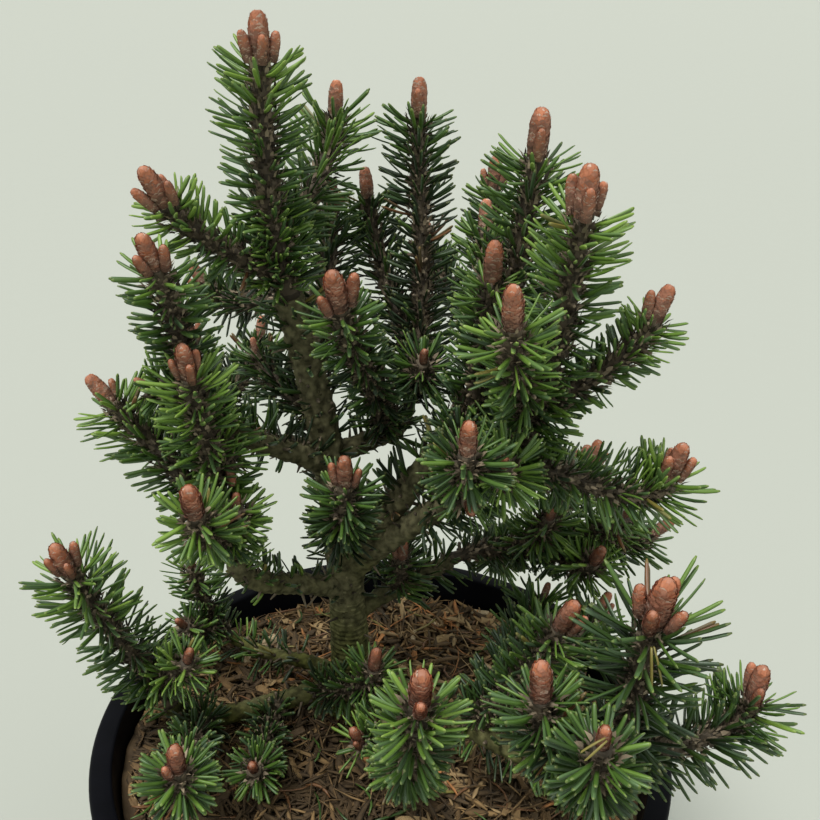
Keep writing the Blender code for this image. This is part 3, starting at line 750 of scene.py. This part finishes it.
# The room that limbs and stems take
class Space:
    """Knows where limbs and stems run, so that a needle reaches only into open space."""

    def __init__(self, limbs, stems):
        shares = np.linspace(0, 1, STATIONS)
        self.limbs = np.concatenate([axis.point(shares) for axis in limbs])
        self.limb_radii = np.concatenate([axis.radii(shares) for axis in limbs])
        self.stems = np.concatenate([axis.point(shares) for axis in stems])
        self.owners = np.repeat([id(axis) for axis in stems], STATIONS)

    def free(self, places, owner):
        """True for each place clear of limbs, of other stems, of pot and bark, and inside the frame's box."""
        away = np.linalg.norm(self.limbs[None] - places[:, None], axis=-1)
        clear = (away > self.limb_radii + NEEDLE_ROOM).all(axis=1)
        others = self.stems[self.owners != owner]
        clear &= (np.linalg.norm(others[None] - places[:, None], axis=-1) > SHOOT_ROOM).all(axis=1)
        near_lip = np.hypot(places[:, 0], places[:, 1]) > POT_TOP_RADIUS - LIP_WIDTH - 2 * MM
        clear &= places[:, 2] > np.where(near_lip, POT_HEIGHT, BARK_TOP) + NEEDLE_ROOM
        low, high = np.array(CAD_BOX[0]), np.array(CAD_BOX[1])
        return clear & (places > low + NEEDLE_ROOM).all(axis=1) & (places < high - NEEDLE_ROOM).all(axis=1)


# Needles
def add_needles(heap, roots, directions, curls, flats, lengths, tints):
    """Needles with a flat inner face and a round back, each curling a little to one side."""
    t = NEEDLE_SHARES[None, :, None]
    lines = roots[:, None] + lengths[:, None, None] * (t * directions[:, None] + t**2 * curls[:, None])
    forward = unit(directions[:, None] + 2 * t * curls[:, None])
    flat = flats[:, None] - forward * (forward * flats[:, None]).sum(-1, keepdims=True)
    across = unit(flat)
    side = np.cross(across, forward)
    outline = NEEDLE_HALF_WIDTH * NEEDLE_WIDTHS[:, None, None] * HALF_ROUND
    sweep(heap, lines, side, across, outline, 3 * tints[:, None] + NEEDLE_PARTS[None])


def add_pairs(needles, roots, directions, forwards, lengths, tints, rng):
    """Pairs of needles, open by a small angle."""
    count = len(roots)
    sideways = unit(np.cross(directions, rng.normal(size=(count, 3))))
    curls = FORWARD_CURL * forwards + CURL_WANDER * rng.normal(size=(count, 3)) + LIFT_CURL * UPWARD
    curls -= directions * (curls * directions).sum(-1, keepdims=True)
    for sign in (1, -1):
        opening = PAIR_OPENING * rng.uniform(*OPENINGS, size=(count, 1))
        outward = unit(directions * np.cos(opening) + sign * sideways * np.sin(opening))
        start = roots + directions * SHEATH_LENGTH * 0.5 + sign * sideways * 0.25 * NEEDLE_HALF_WIDTH
        length = lengths * rng.uniform(*PAIR_LENGTHS, size=count)
        add_needles(needles, start, outward, curls, -sign * sideways, length, tints)


def add_sheaths(heap, roots, directions, rng):
    """The brown sheaths that pairs of needles stand in, or have left behind."""
    count = len(roots)
    shares = np.array([0, 0.55, 1])[None, :, None]
    reach = SHEATH_LENGTH * rng.uniform(*SHEATH_LENGTHS, size=(count, 1, 1))
    lines = roots[:, None] + reach * shares * directions[:, None]
    side, across = around(directions)
    outline = SHEATH_RADIUS * np.array([1.05, 0.92, 0.6])[:, None, None] * circle(SHEATH_CORNERS)
    tone = rng.integers(0, 3, size=(count, 1))
    shades = np.concatenate([np.repeat(tone, 2 * SHEATH_CORNERS + 1, axis=1), tone + 1], axis=1)
    sweep(heap, lines, side[:, None], across[:, None], outline, shades)


def spiral(axis, start, end, pitch, rng):
    """Shares and angles of things that stand on a spiral up a stem."""
    count = max(1, int(axis.length() * (end - start) / pitch))
    shares = start + (end - start) * (np.arange(count) + rng.uniform(0, 0.6, size=count)) / count
    angles = GOLDEN_ANGLE * np.arange(count) + rng.normal(0, SPIRAL_WANDER, size=count)
    return shares, angles + rng.uniform(0, 2 * math.pi)


def room_to_grow(space, axis, centres, directions, lengths, radii):
    """The share of its length that each needle has room for, or 0."""
    grown = np.zeros(len(centres))
    for part in NEEDLE_SHORTENINGS[::-1]:
        clear = np.ones(len(centres), bool)
        for reach in NEEDLE_PROBES:
            clear &= space.free(centres + directions * (lengths * part * reach + radii)[:, None], id(axis))
        grown[clear] = part
    return grown


def needle_tints(tint, below, rng):
    """A tint for each needle, darker further below the tip as painted shade, and a few dry ones."""
    count = len(below)
    tints = tint + np.interp(below, BELOW_TIP, LIT_BELOW) + rng.normal(0, TINT_STRAY, size=count)
    greenest = len(GREENS) - 1 if tint < len(GREENS) else len(GREENS)
    tints = np.clip(np.round(tints), 0, greenest)
    dry = rng.uniform(size=count) < DRY_NEEDLE_SHARE
    return np.where(dry, len(GREENS) + rng.integers(0, len(DRY_GREENS), size=count), tints).astype(int)


def grow_needles(needles, sheaths, axis, region, pitch, length, tint, space, rng, side_kept=0):
    """Needle pairs up a stem or limb, where they have room. Those nearer its foot are darker, as painted
    shade.

    side_kept is 1 for the upper side alone, -1 for the lower side alone and 0 for both.
    """
    shares, angles = spiral(axis, *region, pitch, rng)
    count = len(shares)
    forward = axis.direction(shares)
    outward = spokes(angles, *around(forward))
    spread = SPREAD_LOW + (SPREAD_TOP - SPREAD_LOW) * shares + rng.normal(0, SPREAD_WANDER, size=count)
    directions = np.cos(spread)[:, None] * forward + np.sin(spread)[:, None] * outward
    lift = LIFT * (1 - np.clip(forward[:, 2:], 0, 1)) * UPWARD
    directions = unit(directions + DIRECTION_WANDER * rng.normal(size=(count, 3)) + lift)
    centres, radii = axis.point(shares), axis.radii(shares)
    below = (1 - shares) * axis.length() / MM
    lengths = length * rng.uniform(*NEEDLE_LENGTHS, size=count) * np.interp(below, BELOW_TIP, LENGTH_BELOW)
    grown = room_to_grow(space, axis, centres, directions, lengths, radii)
    kept = (grown > 0) & (rng.uniform(size=count) < np.interp(below, BELOW_TIP, CROWDING_BELOW))
    if side_kept:
        kept &= side_kept * outward[:, 2] > 0
    roots = centres + outward * (ROOT_DEPTH * radii)[:, None]
    shown = kept if side_kept else slice(None)
    add_sheaths(sheaths, roots[shown], directions[shown], rng)
    tints = needle_tints(tint, below, rng)
    lengths = lengths * grown
    add_pairs(needles, *(each[kept] for each in (roots, directions, forward, lengths, tints)), rng)


# Stems and their scales
def ring_line(axis, shares):
    forward = axis.direction(shares)
    side, across = around(forward)
    return axis.point(shares), side, across


def grow_stem(heap, axis, rng):
    """The rough stem of a shoot, a little uneven, sunk into what it leaves."""
    count = max(6, int(axis.length() / STEM_STEP))
    shares = np.linspace(-0.02, 1, count)
    lines, side, across = ring_line(axis, shares)
    uneven = 1 + STEM_UNEVEN * rng.normal(size=(count, STEM_CORNERS, 1))
    outline = axis.radii(shares)[:, None, None] * circle(STEM_CORNERS)[None] * uneven
    shades = rng.integers(0, 2, size=(1, STEM_CORNERS * (count - 1) + 2))
    sweep(heap, lines[None], side[None], across[None], outline[None], shades)


def grow_scales(heap, axis, region, pitch, tones, rng):
    """Papery brown scales between the needles, pressed to the stem, with their tips curled out."""
    shares, angles = spiral(axis, *region, pitch, rng)
    forward = axis.direction(shares)
    outward = spokes(angles, *around(forward))
    sideways = np.cross(forward, outward)
    radii = axis.radii(shares)[:, None]
    each = (len(shares), 1)
    foot = axis.point(shares) + outward * (radii + MM * rng.uniform(*SCALE_FEET, size=each))
    half = sideways * (SCALE_HALF_WIDTH * rng.uniform(0.6, 1.4, size=each))
    rise = SCALE_RISE * rng.uniform(0.5, 1.4, size=each)
    lift = SCALE_LIFT * rng.uniform(0.1, 1.6, size=each)
    middle = foot + forward * rise * 0.5 + outward * lift * 0.3
    tip = foot + forward * rise + outward * lift
    points = np.stack([foot - half, foot + half, middle + half, middle - half, tip], axis=1)
    heap.add(points, SCALE_FACES, rng.integers(*tones, size=each))


# Buds
def bud_width(share):
    """The radius of a bud at a share of its length, as a share of its largest."""
    return (0.86 + 0.14 * np.clip(share / 0.35, 0, 1) ** 0.7) * np.maximum(1 - share**5, 0) ** 0.45


def grow_bud(heap, foot, forward, length, radius, rng):
    """A bud: a core covered by rows of overlapping scales, duller at the foot and resinous in spots."""
    side, across = around(forward)
    lines = foot + forward * (length * BUD_RINGS)[:, None]
    outline = BUD_CORE * radius * bud_width(BUD_RINGS)[:, None, None] * circle(9)
    sweep(heap, lines[None], side[None, None], across[None, None], outline, 2)
    row, column = np.meshgrid(np.arange(BUD_ROWS), np.arange(BUD_SCALES_A_ROW), indexing="ij")
    row, column = row.ravel(), column.ravel()
    count = len(row)
    start = BUD_TOP_ROW * row / BUD_ROWS + rng.uniform(-0.012, 0.012, size=count)
    middle = 2 * math.pi * (column + 0.5 * (row % 2)) / BUD_SCALES_A_ROW + rng.normal(0, 0.1, size=count)
    reach = BUD_SCALE_REACH * rng.uniform(0.85, 1.2, size=(count, 1))
    share = np.minimum(start[:, None] + reach * np.array([0, 0.6, 1]), 0.995)
    width = radius * (bud_width(share) + BUD_SCALE_LIFT * rng.uniform(0.3, 1.6, size=(count, 1)))
    half = BUD_SCALE_WIDTH * math.pi / BUD_SCALES_A_ROW
    corners = []
    for ring, turn in ((0, -half), (0, half), (1, half), (1, -half), (2, 0)):
        rim = spokes(middle + turn, side, across) * width[:, ring, None]
        corners.append(foot + forward * (length * share[:, ring])[:, None] + rim)
    tone = np.clip(np.round(3.4 * start + rng.normal(0, 0.5, size=count)), 0, 3).astype(int)
    resin = rng.uniform(size=count) + 0.25 * start
    tones = np.stack([np.where(resin < limit, 4, tone) for limit in RESIN], axis=-1)
    heap.add(np.stack(corners, axis=1), SCALE_FACES, tones)


def grow_buds(heap, axis, shoot, rng):
    """The bud at a stem's tip, with the shorter ones round its foot."""
    tip, forward = axis.point(1.0), axis.direction(1.0)
    side, across = around(forward)
    length, radius = BUD_LENGTH * shoot.bud, BUD_RADIUS * shoot.bud
    grow_bud(heap, tip - forward * 0.5 * MM, forward, length + 0.5 * MM, radius, rng)
    turn = rng.uniform(0, 2 * math.pi)
    for k in range(shoot.side_buds):
        angle = turn + 2 * math.pi * (k + rng.uniform(-0.15, 0.15)) / shoot.side_buds
        out = math.cos(angle) * side + math.sin(angle) * across
        tilt = SIDE_BUD_TILT * rng.uniform(0.7, 1.2)
        tilted = math.cos(tilt) * forward + math.sin(tilt) * out
        size = rng.uniform(0.8, 1.05)
        foot = tip + out * radius * SIDE_BUD_OFFSET - forward * 0.6 * MM * rng.uniform(0, 1)
        grow_bud(heap, foot, tilted, length * SIDE_BUD_SHARE * size, radius * SIDE_BUD_WIDTH * size, rng)


# Trunk and boughs
def peg_relief(angles, heights, radii):
    """The low pegs that fallen needles leave, on a spiral round a limb, from 0 to 1."""
    nearest = np.round(heights / PEG_PITCH)
    relief = np.zeros(np.broadcast(angles, heights).shape)
    for step in range(-6, 7):
        number = nearest + step
        turn = (angles - number * GOLDEN_ANGLE + math.pi) % (2 * math.pi) - math.pi
        rise = heights - number * PEG_PITCH
        away = np.hypot(turn * radii, np.where(rise > 0, rise * 1.4, rise * 0.6))
        relief = np.maximum(relief, np.exp(-((away / PEG_SIZE) ** 2)))
    return relief


def bark_relief(spots, heights, angles, radii, old):
    """How far a limb's bark stands out, and its faces: 0 plain, 1 painted-shade groove, 2 painted-highlight
    ridge.
    """
    relief = PEG_HEIGHT * (1 - 0.75 * old) * peg_relief(angles, heights, radii) + lumpy(spots, LUMPS, 1)
    wave = np.sin(2 * math.pi * heights / RING_PITCH + 1.8 * noise(spots, 6 * MM, 3))
    relief = relief + RING_HEIGHT * old * wave
    ring = old * wave + 0.4 * noise(spots, 2.5 * MM, 9)
    # Hollows of the relief get painted shade, and the crests of the trunk's rings a painted highlight
    shaded_groove = (relief < -GROOVE_DEPTH) | (ring < -0.8)
    return relief, np.where(shaded_groove, 1, np.where(ring > 0.55, 2, 0))[:-1]


def make_limb(name, axis, materials):
    """A limb's bark in relief: pegs, lumps, and fine rings round the trunk's foot."""
    trunk = name == "trunk"
    step = TRUNK_STEP if trunk else BOUGH_STEP
    shares = np.linspace(-TRUNK_SUNK if trunk else 0, 1, int(axis.length() / step))
    corners = int(2 * math.pi * float(axis.radius(0.3)) / step)
    lines, side, across = ring_line(axis, shares)
    heights = (shares * axis.length())[:, None]
    angles = (2 * math.pi * np.arange(corners) / corners)[None]
    radii = axis.radii(shares)[:, None]
    spots = lines[:, None] + radii[..., None] * spokes(angles, side[:, None], across[:, None])
    old = np.clip(1.2 - heights / RINGED_HEIGHT, 0, 1) if trunk else 0.0
    relief, shade = bark_relief(spots, heights, angles, radii, old)
    swell = 1 if trunk else 1 + SWELL * np.exp(-heights / SWELL_HEIGHT)
    outline = (radii * swell + relief)[..., None] * circle(corners)
    heap = Heap()
    shades = np.concatenate([shade.ravel(), [0, 0]])[None]
    sweep(heap, lines[None], side[None], across[None], outline[None], shades)
    made = heap.build(f"{name}_bark", materials)
    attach(made, "root")
    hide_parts(name)


def grow_stubs(heap, axis, rng):
    """Dead ends of needles that still stand on a bare limb."""
    shares, angles = spiral(axis, 0.15, 1, MM / STUB_DENSITY, rng)
    forward = axis.direction(shares)
    outward = spokes(angles, *around(forward))
    directions = unit(outward + rng.uniform(-0.1, 0.9, size=(len(shares), 1)) * forward)
    radii = axis.radii(shares)[:, None]
    lengths = rng.uniform(*STUB_LENGTHS, size=(len(shares), 1))
    roots = axis.point(shares) + outward * radii * 0.7
    t = np.array([0, 0.6, 1])[None, :, None]
    lines = roots[:, None] + (0.3 * radii + lengths)[:, None] * t * directions[:, None]
    side, across = around(directions)
    outline = np.array([0.6, 0.4, 0.2])[:, None, None] * MM * circle(4)
    sweep(heap, lines, side[:, None], across[:, None], outline, rng.integers(0, 3, size=(len(shares), 1)))


# Pot and potting bark
def lathe(profile, corners):
    """Points and faces of a turned solid, from (radius, height) rings between two points on the axis."""
    ring = circle(corners)
    points = [(0, 0, profile[0][1])]
    for radius, height in profile[1:-1]:
        points.extend((radius * x, radius * y, height) for x, y in ring)
    points.append((0, 0, profile[-1][1]))
    sides, _ = tube_faces(len(profile) - 2, corners)
    k = np.arange(corners)
    beside = (k + 1) % corners
    last = len(points) - 1
    below = np.stack([np.zeros(corners, int), beside + 1, k + 1], axis=-1)
    above = np.stack([np.full(corners, last), last - corners + k, last - corners + beside], axis=-1)
    return np.array(points), [sides + 1, below, above]


def wall_radius(height):
    """The outer radius of the pot's tapering wall."""
    neck = POT_TOP_RADIUS - LIP_WIDTH
    return POT_BASE_RADIUS + (neck - POT_BASE_RADIUS) * height / POT_HEIGHT


def bark_height(radius):
    """The bark's surface, which is mounded a little towards the middle."""
    return BARK_TOP - BARK_CROWN * (radius / wall_radius(BARK_TOP - BARK_CROWN)) ** 2


def banked(places):
    """How much higher the loose bark lies where it is banked against one side of the pot's wall."""
    radius = np.maximum(np.hypot(places[..., 0], places[..., 1]), MM)
    side = np.clip(places @ np.array(BANK_SIDE) / radius, 0, 1)
    near_wall = np.clip((radius / wall_radius(BARK_TOP) - BANK_START) / (1 - BANK_START), 0, 1)
    return BANK_HEIGHT * side * near_wall


def arc(centre, radius, first, last, steps=5):
    """Points of (radius, height) round a centre, from one angle to another in degrees."""
    angles = np.radians(np.linspace(first, last, steps))
    return [(centre[0] + radius * math.cos(a), centre[1] + radius * math.sin(a)) for a in angles]


def pot_profile():
    """The pot's section, with a soft foot, a rounded lip turned out and down, and its floor."""
    top, lip, outer, r = POT_HEIGHT, POT_HEIGHT - LIP_DROP, POT_TOP_RADIUS, LIP_ROUND
    inner = wall_radius(top) - POT_WALL
    profile = [(0, 0)]
    profile += arc((wall_radius(0) - r, r), r, -90, 0)
    profile += [(wall_radius(z), z) for z in np.linspace(0.1, 0.9, 5) * lip]
    profile += arc((wall_radius(lip) + r, lip - r), r, 180, 90, 4)
    profile += arc((outer - r, lip + r), r, -90, 0, 4)
    profile += arc((outer - r, top - r), r, 0, 90)
    profile += arc((inner + 0.8 * r, top - 0.8 * r), 0.8 * r, 90, 180, 4)
    profile += [(wall_radius(z) - POT_WALL, z) for z in np.linspace(0.9, 0.1, 4) * top]
    profile += arc((wall_radius(POT_FLOOR) - POT_WALL - r, POT_FLOOR + r), r, 0, -90, 4)
    return profile + [(0, POT_FLOOR)]


def drill_drains(pot):
    """Cuts the drain holes through the pot's floor."""
    drill = bmesh.new()
    size = {"radius1": DRAIN_RADIUS, "radius2": DRAIN_RADIUS, "depth": DRAIN_DEPTH}
    for i in range(DRAIN_COUNT):
        turn = Matrix.Rotation(2 * math.pi * i / DRAIN_COUNT, 4, "Z")
        place = turn @ Matrix.Translation((DRAIN_CIRCLE, 0, 0))
        bmesh.ops.create_cone(drill, cap_ends=True, segments=24, matrix=place, **size)
    mesh = bpy.data.meshes.new("drains")
    drill.to_mesh(mesh)
    drill.free()
    drains = linked("drains", mesh)
    cut = pot.modifiers.new("drains", "BOOLEAN")
    cut.operation, cut.solver, cut.object = "DIFFERENCE", "EXACT", drains
    bpy.context.view_layer.update()
    whole = bpy.data.meshes.new_from_object(pot.evaluated_get(bpy.context.evaluated_depsgraph_get()))
    pot.modifiers.clear()
    pot.data = whole
    bpy.data.objects.remove(drains)


def make_pot(material):
    points, faces = lathe(pot_profile(), POT_SIDES)
    pot = solid("nursery_pot", points, faces, [material])
    drill_drains(pot)
    pot.data.set_sharp_from_angle(angle=POT_SHARP)
    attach(pot, "root")
    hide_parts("pot")


def make_bed(materials):
    """The filling of potting bark, whose top is lumpy."""
    floor, edge = POT_FLOOR + GAP, BARK_TOP - BARK_CROWN
    rim = wall_radius(edge) - POT_WALL - GAP
    profile = [(0, floor)]
    profile += [(wall_radius(z) - POT_WALL - GAP, z) for z in np.linspace(floor, edge - 3 * MM, 4)]
    profile += [(share * rim, bark_height(share * rim) - BED_SUNK) for share in np.linspace(1, 0.012, 62)]
    profile.append((0, BARK_TOP - BED_SUNK))
    points, faces = lathe(profile, BED_SIDES)
    on_top = points[:, 2] > edge - 2.9 * MM
    raised = BED_BANKED * banked(points[:, :2]) + lumpy(points * np.array([1, 1, 0]), BED_LUMPS, 6)
    points[:, 2] += np.where(on_top, raised, 0)
    bed = solid("bark_bed", points, faces, materials)
    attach(bed, "root")
    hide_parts("potting_bark")


def strip_places(length, room, rng):
    """The heading and the centre of each strip, whose ends stay within the pot's wall."""
    heading = rng.uniform(0, 2 * math.pi, size=len(length))
    radius = room * np.sqrt(rng.uniform(0, 1, size=len(length)))
    where = rng.uniform(0, 2 * math.pi, size=len(length))
    half, lengthways = 0.5 * length, np.abs(np.cos(heading - where))
    reach = np.sqrt((room - WALL_MARGIN) ** 2 - half**2 * (1 - lengthways**2)) - half * lengthways
    radius = np.minimum(radius, reach)
    return heading, np.stack([radius * np.cos(where), radius * np.sin(where)], axis=-1)


def strip_lines(heading, centre, length, layer, tilt, bend, rng):
    """The middle line of each strip, bowed a little sideways and upwards, on the bark."""
    t = np.linspace(-0.5, 0.5, 5)[None, :]
    arched = t**2 - 0.08
    each = (len(length), 1)
    ahead = np.stack([np.cos(heading), np.sin(heading)], axis=-1)[:, None]
    beside = np.stack([-np.sin(heading), np.cos(heading)], axis=-1)[:, None]
    bow = rng.normal(0, bend, size=each) * arched
    flat = centre[:, None] + length[:, None, None] * (t[..., None] * ahead + bow[..., None] * beside)
    slope = rng.normal(0, tilt, size=each) * t
    slope = slope + rng.normal(0, bend * 0.4, size=each) * arched
    height = bark_height(np.hypot(flat[..., 0], flat[..., 1])) + banked(flat)
    height = height + rng.uniform(*(np.array(layer) * MM), size=each)
    height = np.minimum(height + length[:, None] * slope, POT_HEIGHT - STRIP_ROOM)
    return np.concatenate([flat, height[..., None]], axis=-1)


def strewn(heap, count, sizes, corners, layer, shades, rng, tilt=0.22, bend=0.3, blunt=0.35, painted_shade=0.0):
    """Strips strewn over the bark, each a little bent and tilted, kept within the pot's wall.

    sizes are the ranges of their lengths and widths in millimetres and their thickness as a share of
    their width, layer is how high they lie, in millimetres, and blunt is how wide their ends are. damp is
    how likely each is to be dealt a shade or two darker towards one side, as painted shade.
    """
    lengths, widths, thickness = np.array(sizes[0]) * MM, np.array(sizes[1]) * MM, sizes[2]
    length = lengths[0] + (lengths[1] - lengths[0]) * rng.beta(1.3, 2.4, size=count)
    width = rng.uniform(*widths, size=count)
    room = wall_radius(BARK_TOP) - POT_WALL - STRIP_ROOM
    heading, centre = strip_places(length, room, rng)
    # Painted shade: strips towards one side are dealt a shade or two darker
    painted_shade_chance = painted_shade * np.clip(centre @ np.array(SHADED_SIDE) / room + SHADED_MIDDLE_SHARE, 0, 1)[:, None]
    shades = np.maximum(shades - rng.binomial(2, painted_shade_chance), 0)
    lines = strip_lines(heading, centre, length, layer, tilt, bend, rng)
    forward = unit(np.gradient(lines, axis=1))
    level = unit(np.cross(UPWARD, forward))
    upward = np.cross(forward, level)
    roll = rng.normal(0, 0.5, size=(count, 1, 1)) + rng.normal(0, 0.25, size=(count, 5, 1))
    side = np.cos(roll) * level + np.sin(roll) * upward
    across = np.cross(forward, side)
    shape = circle(corners) * np.array([1, thickness])
    ends = np.array([blunt, 0.95, 1, 0.9, 0.9 * blunt])[:, None, None]
    uneven = rng.uniform(0.6, 1.2, size=(count, 5, corners, 1)) * ends
    sweep(heap, lines, side, across, 0.5 * width[:, None, None, None] * shape * uneven, shades)


def make_mulch(materials, rng):
    """Shredded bark: dark shreds below, brown fibres over them, and a few flat chips."""
    fibres, chips = Heap(), Heap()
    # Strips are dealt darker towards one side as painted shade
    for count, sizes, layer, tones in FIBRES:
        shades = rng.choice(np.array(tones), (count, 1))
        strewn(fibres, count, sizes, 4, layer, shades, rng, painted_shade=PAINTED_SHADE_CHANCE)
    count, sizes, layer, tones = CHIPS
    shades = rng.choice(np.array(tones), (count, 1))
    strewn(chips, count, sizes, 6, layer, shades, rng, tilt=0.3, bend=0.15, blunt=0.8, painted_shade=PAINTED_SHADE_CHANCE)
    for name, heap, smooth in (("bark_fibres", fibres, True), ("bark_chips", chips, False)):
        made = heap.build(name, materials, smooth)
        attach(made, "root")


def make_litter(materials, rng):
    """Needles that have dropped on the bark: most dry and brown, a few still green."""
    heap = Heap()
    count, sizes, layer, tints = LITTER
    shades = rng.choice(np.array(tints), (count, 1)) * 3
    strewn(heap, count, sizes, 4, layer, shades, rng, tilt=0.12, bend=0.5)
    made = heap.build("dropped_needles", materials)
    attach(made, "root")


# The plant
def grow_mass(mass, axes, space, heaps, looks, rng):
    """A mass of sprays, with needles of its own and its twigs, sheaths and buds among the others."""
    twigs, sheaths, buds = heaps
    _, tint, shoots = MASSES[mass]
    needles = Heap()
    region = (BARE_SHARE, TOP_SHARE)
    for axis, shoot in zip(axes, shoots):
        # The spray's tint paints light and shade on its needles, with a random spread
        spray = tint + rng.normal(0, SPRAY_STRAY)
        grow_stem(twigs, axis, rng)
        grow_scales(twigs, axis, (BARE_SHARE, 1), SCALE_PITCH, (0, 4), rng)
        grow_needles(needles, sheaths, axis, region, PAIR_PITCH, shoot.needle * MM, spray, space, rng)
        grow_buds(buds, axis, shoot, rng)
    made = needles.build(mass.replace("shoots", "needles").replace("shoot_", "needles_"), looks)
    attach(made, "root")
    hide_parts(mass)


def grow_limbs(limbs, stems, space, heaps, rng):
    """The limbs with their bark, their stubs, and the needles that still stand on them."""
    twigs, sheaths, lone = heaps
    # Plain bark, bark whose grooves are darkened as painted shade, and bark whose ring ridges are paled as
    # painted highlight
    limb_shades = (("limb", 1), ("limb_groove_painted_shade", GROOVE_PAINTED_SHADE), ("limb_ridge_painted_highlight", RIDGE_PAINTED_HIGHLIGHT))
    looks = [bark_surface(name, shade) for name, shade in limb_shades]
    for name, axis in limbs.items():
        make_limb(name, axis, looks)
        grow_stubs(twigs, axis, rng)
    grow_scales(twigs, stems["shoots_crown"][0], COLLAR, COLLAR_PITCH, (2, 4), rng)
    for row in SPARSE_NEEDLES:
        axis = limbs[row.limb] if row.limb in limbs else stems[row.limb][0]
        region, pitch, length = (row.start, row.end), MM / row.density, row.length * MM
        grow_needles(lone, sheaths, axis, region, pitch, length, row.tint, space, rng, row.side)
    places, towards, lengths = (np.array(column, float) for column in zip(*DEAD_NEEDLES))
    places, towards = places * MM + plant_point((0, 0, 0)), unit(towards)
    add_pairs(lone, places, towards, towards, lengths * MM, np.full(len(lengths), len(GREENS)), rng)


def grow_plant():
    limbs = limb_axes()
    stems = {mass: shoot_axes(limbs[parent], shoots) for mass, (parent, _, shoots) in MASSES.items()}
    space = Space(list(limbs.values()), [axis for axes in stems.values() for axis in axes])
    needle_looks = needle_materials()
    twig_looks = shades_of("twig", TWIG_COLOURS, (0.6, 0.9), 600, 0.2 * MM)
    bud_looks = shades_of("bud", BUD_COLOURS, (0.45, 0.8), 700, 0.15 * MM, varied=0.28, sheen=0.35)
    twigs, sheaths, buds, lone = Heap(), Heap(), Heap(), Heap()
    for number, mass in enumerate(MASSES):
        rng = np.random.default_rng(SEED + number)
        grow_mass(mass, stems[mass], space, (twigs, sheaths, buds), needle_looks, rng)
    grow_limbs(limbs, stems, space, (twigs, sheaths, lone), np.random.default_rng(SEED))
    for name, heap, looks, slot in (
        ("needles_on_limbs", lone, needle_looks, "foliage"),
        ("twigs", twigs, twig_looks, "limb"),
        ("needle_sheaths", sheaths, twig_looks, "limb"),
        ("buds", buds, bud_looks, None),
    ):
        made = heap.build(name, looks)
        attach(made, "root")
    return needle_looks


def make_floor():
    """A plain pale floor that the pot stands on, which sweeps up a little far behind it."""
    steps = np.linspace(0, 1, 12)[1:]
    rings = [(FLOOR_FLAT, 0)] + [(FLOOR_FLAT + s * FLOOR_RUN, FLOOR_RISE * s**2) for s in steps]
    points, faces = lathe([(0, 0), *rings, (0, 0)], FLOOR_SIDES)
    look = surface("floor", FLOOR_COLOUR, (0.75, 0.9), 30, 0.1 * MM)
    floor = solid("floor", points[:-1], faces[:2], [look])


def stance(side, up, back, place):
    """The place and turn of a light or camera that looks away from back."""
    return Matrix((*zip(side, up, back, place), (0, 0, 0, 1)))


def add_sun(name, towards, power, softness, colour):
    """A soft, even light that comes from the given direction."""
    light = bpy.data.lights.new(name, "SUN")
    light.angle, light.energy, light.color = math.radians(softness), power, colour
    back = unit(towards)
    side = unit(np.cross(UPWARD, back))
    linked(name, light).matrix_world = stance(side, np.cross(back, side), back, SUN_DISTANCE * back)


def light_scene():
    world = bpy.data.worlds.new("studio")
    world.use_nodes = True
    background = world.node_tree.nodes["Background"]
    background.inputs["Color"].default_value = (*WORLD_COLOUR, 1)
    background.inputs["Strength"].default_value = WORLD_STRENGTH
    bpy.context.scene.world = world
    for name, values in SUNS.items():
        add_sun(name, *values)


def place_camera():
    """The camera of the photograph, from above the pot's front."""
    forward = np.array([0, math.cos(CAMERA_PITCH), -math.sin(CAMERA_PITCH)])
    level = np.array([1.0, 0, 0])
    upright = np.cross(level, forward)
    side = math.cos(CAMERA_ROLL) * level + math.sin(CAMERA_ROLL) * upright
    up = -math.sin(CAMERA_ROLL) * level + math.cos(CAMERA_ROLL) * upright
    camera = bpy.data.cameras.new("camera")
    camera.lens = CAMERA_LENS
    camera.clip_start = 10 * MM
    made = linked("camera", camera)
    made.matrix_world = stance(side, up, -forward, CAMERA_PLACE)
    bpy.context.scene.camera = made


needle_looks = grow_plant()
bark_looks = shades_of("potting_bark", BARK_COLOURS, (0.7, 0.98), 500, 0.35 * MM, varied=0.3)
make_bed(bark_looks)
make_mulch(bark_looks, np.random.default_rng(SEED + 101))
make_litter(needle_looks, np.random.default_rng(SEED + 102))
make_pot(surface("pot_plastic", POT_COLOUR, (0.36, 0.52), 260, 0.06 * MM, varied=0.2, sheen=0.06))
make_floor()
light_scene()
place_camera()
bpy.context.scene.view_settings.view_transform = "Standard"
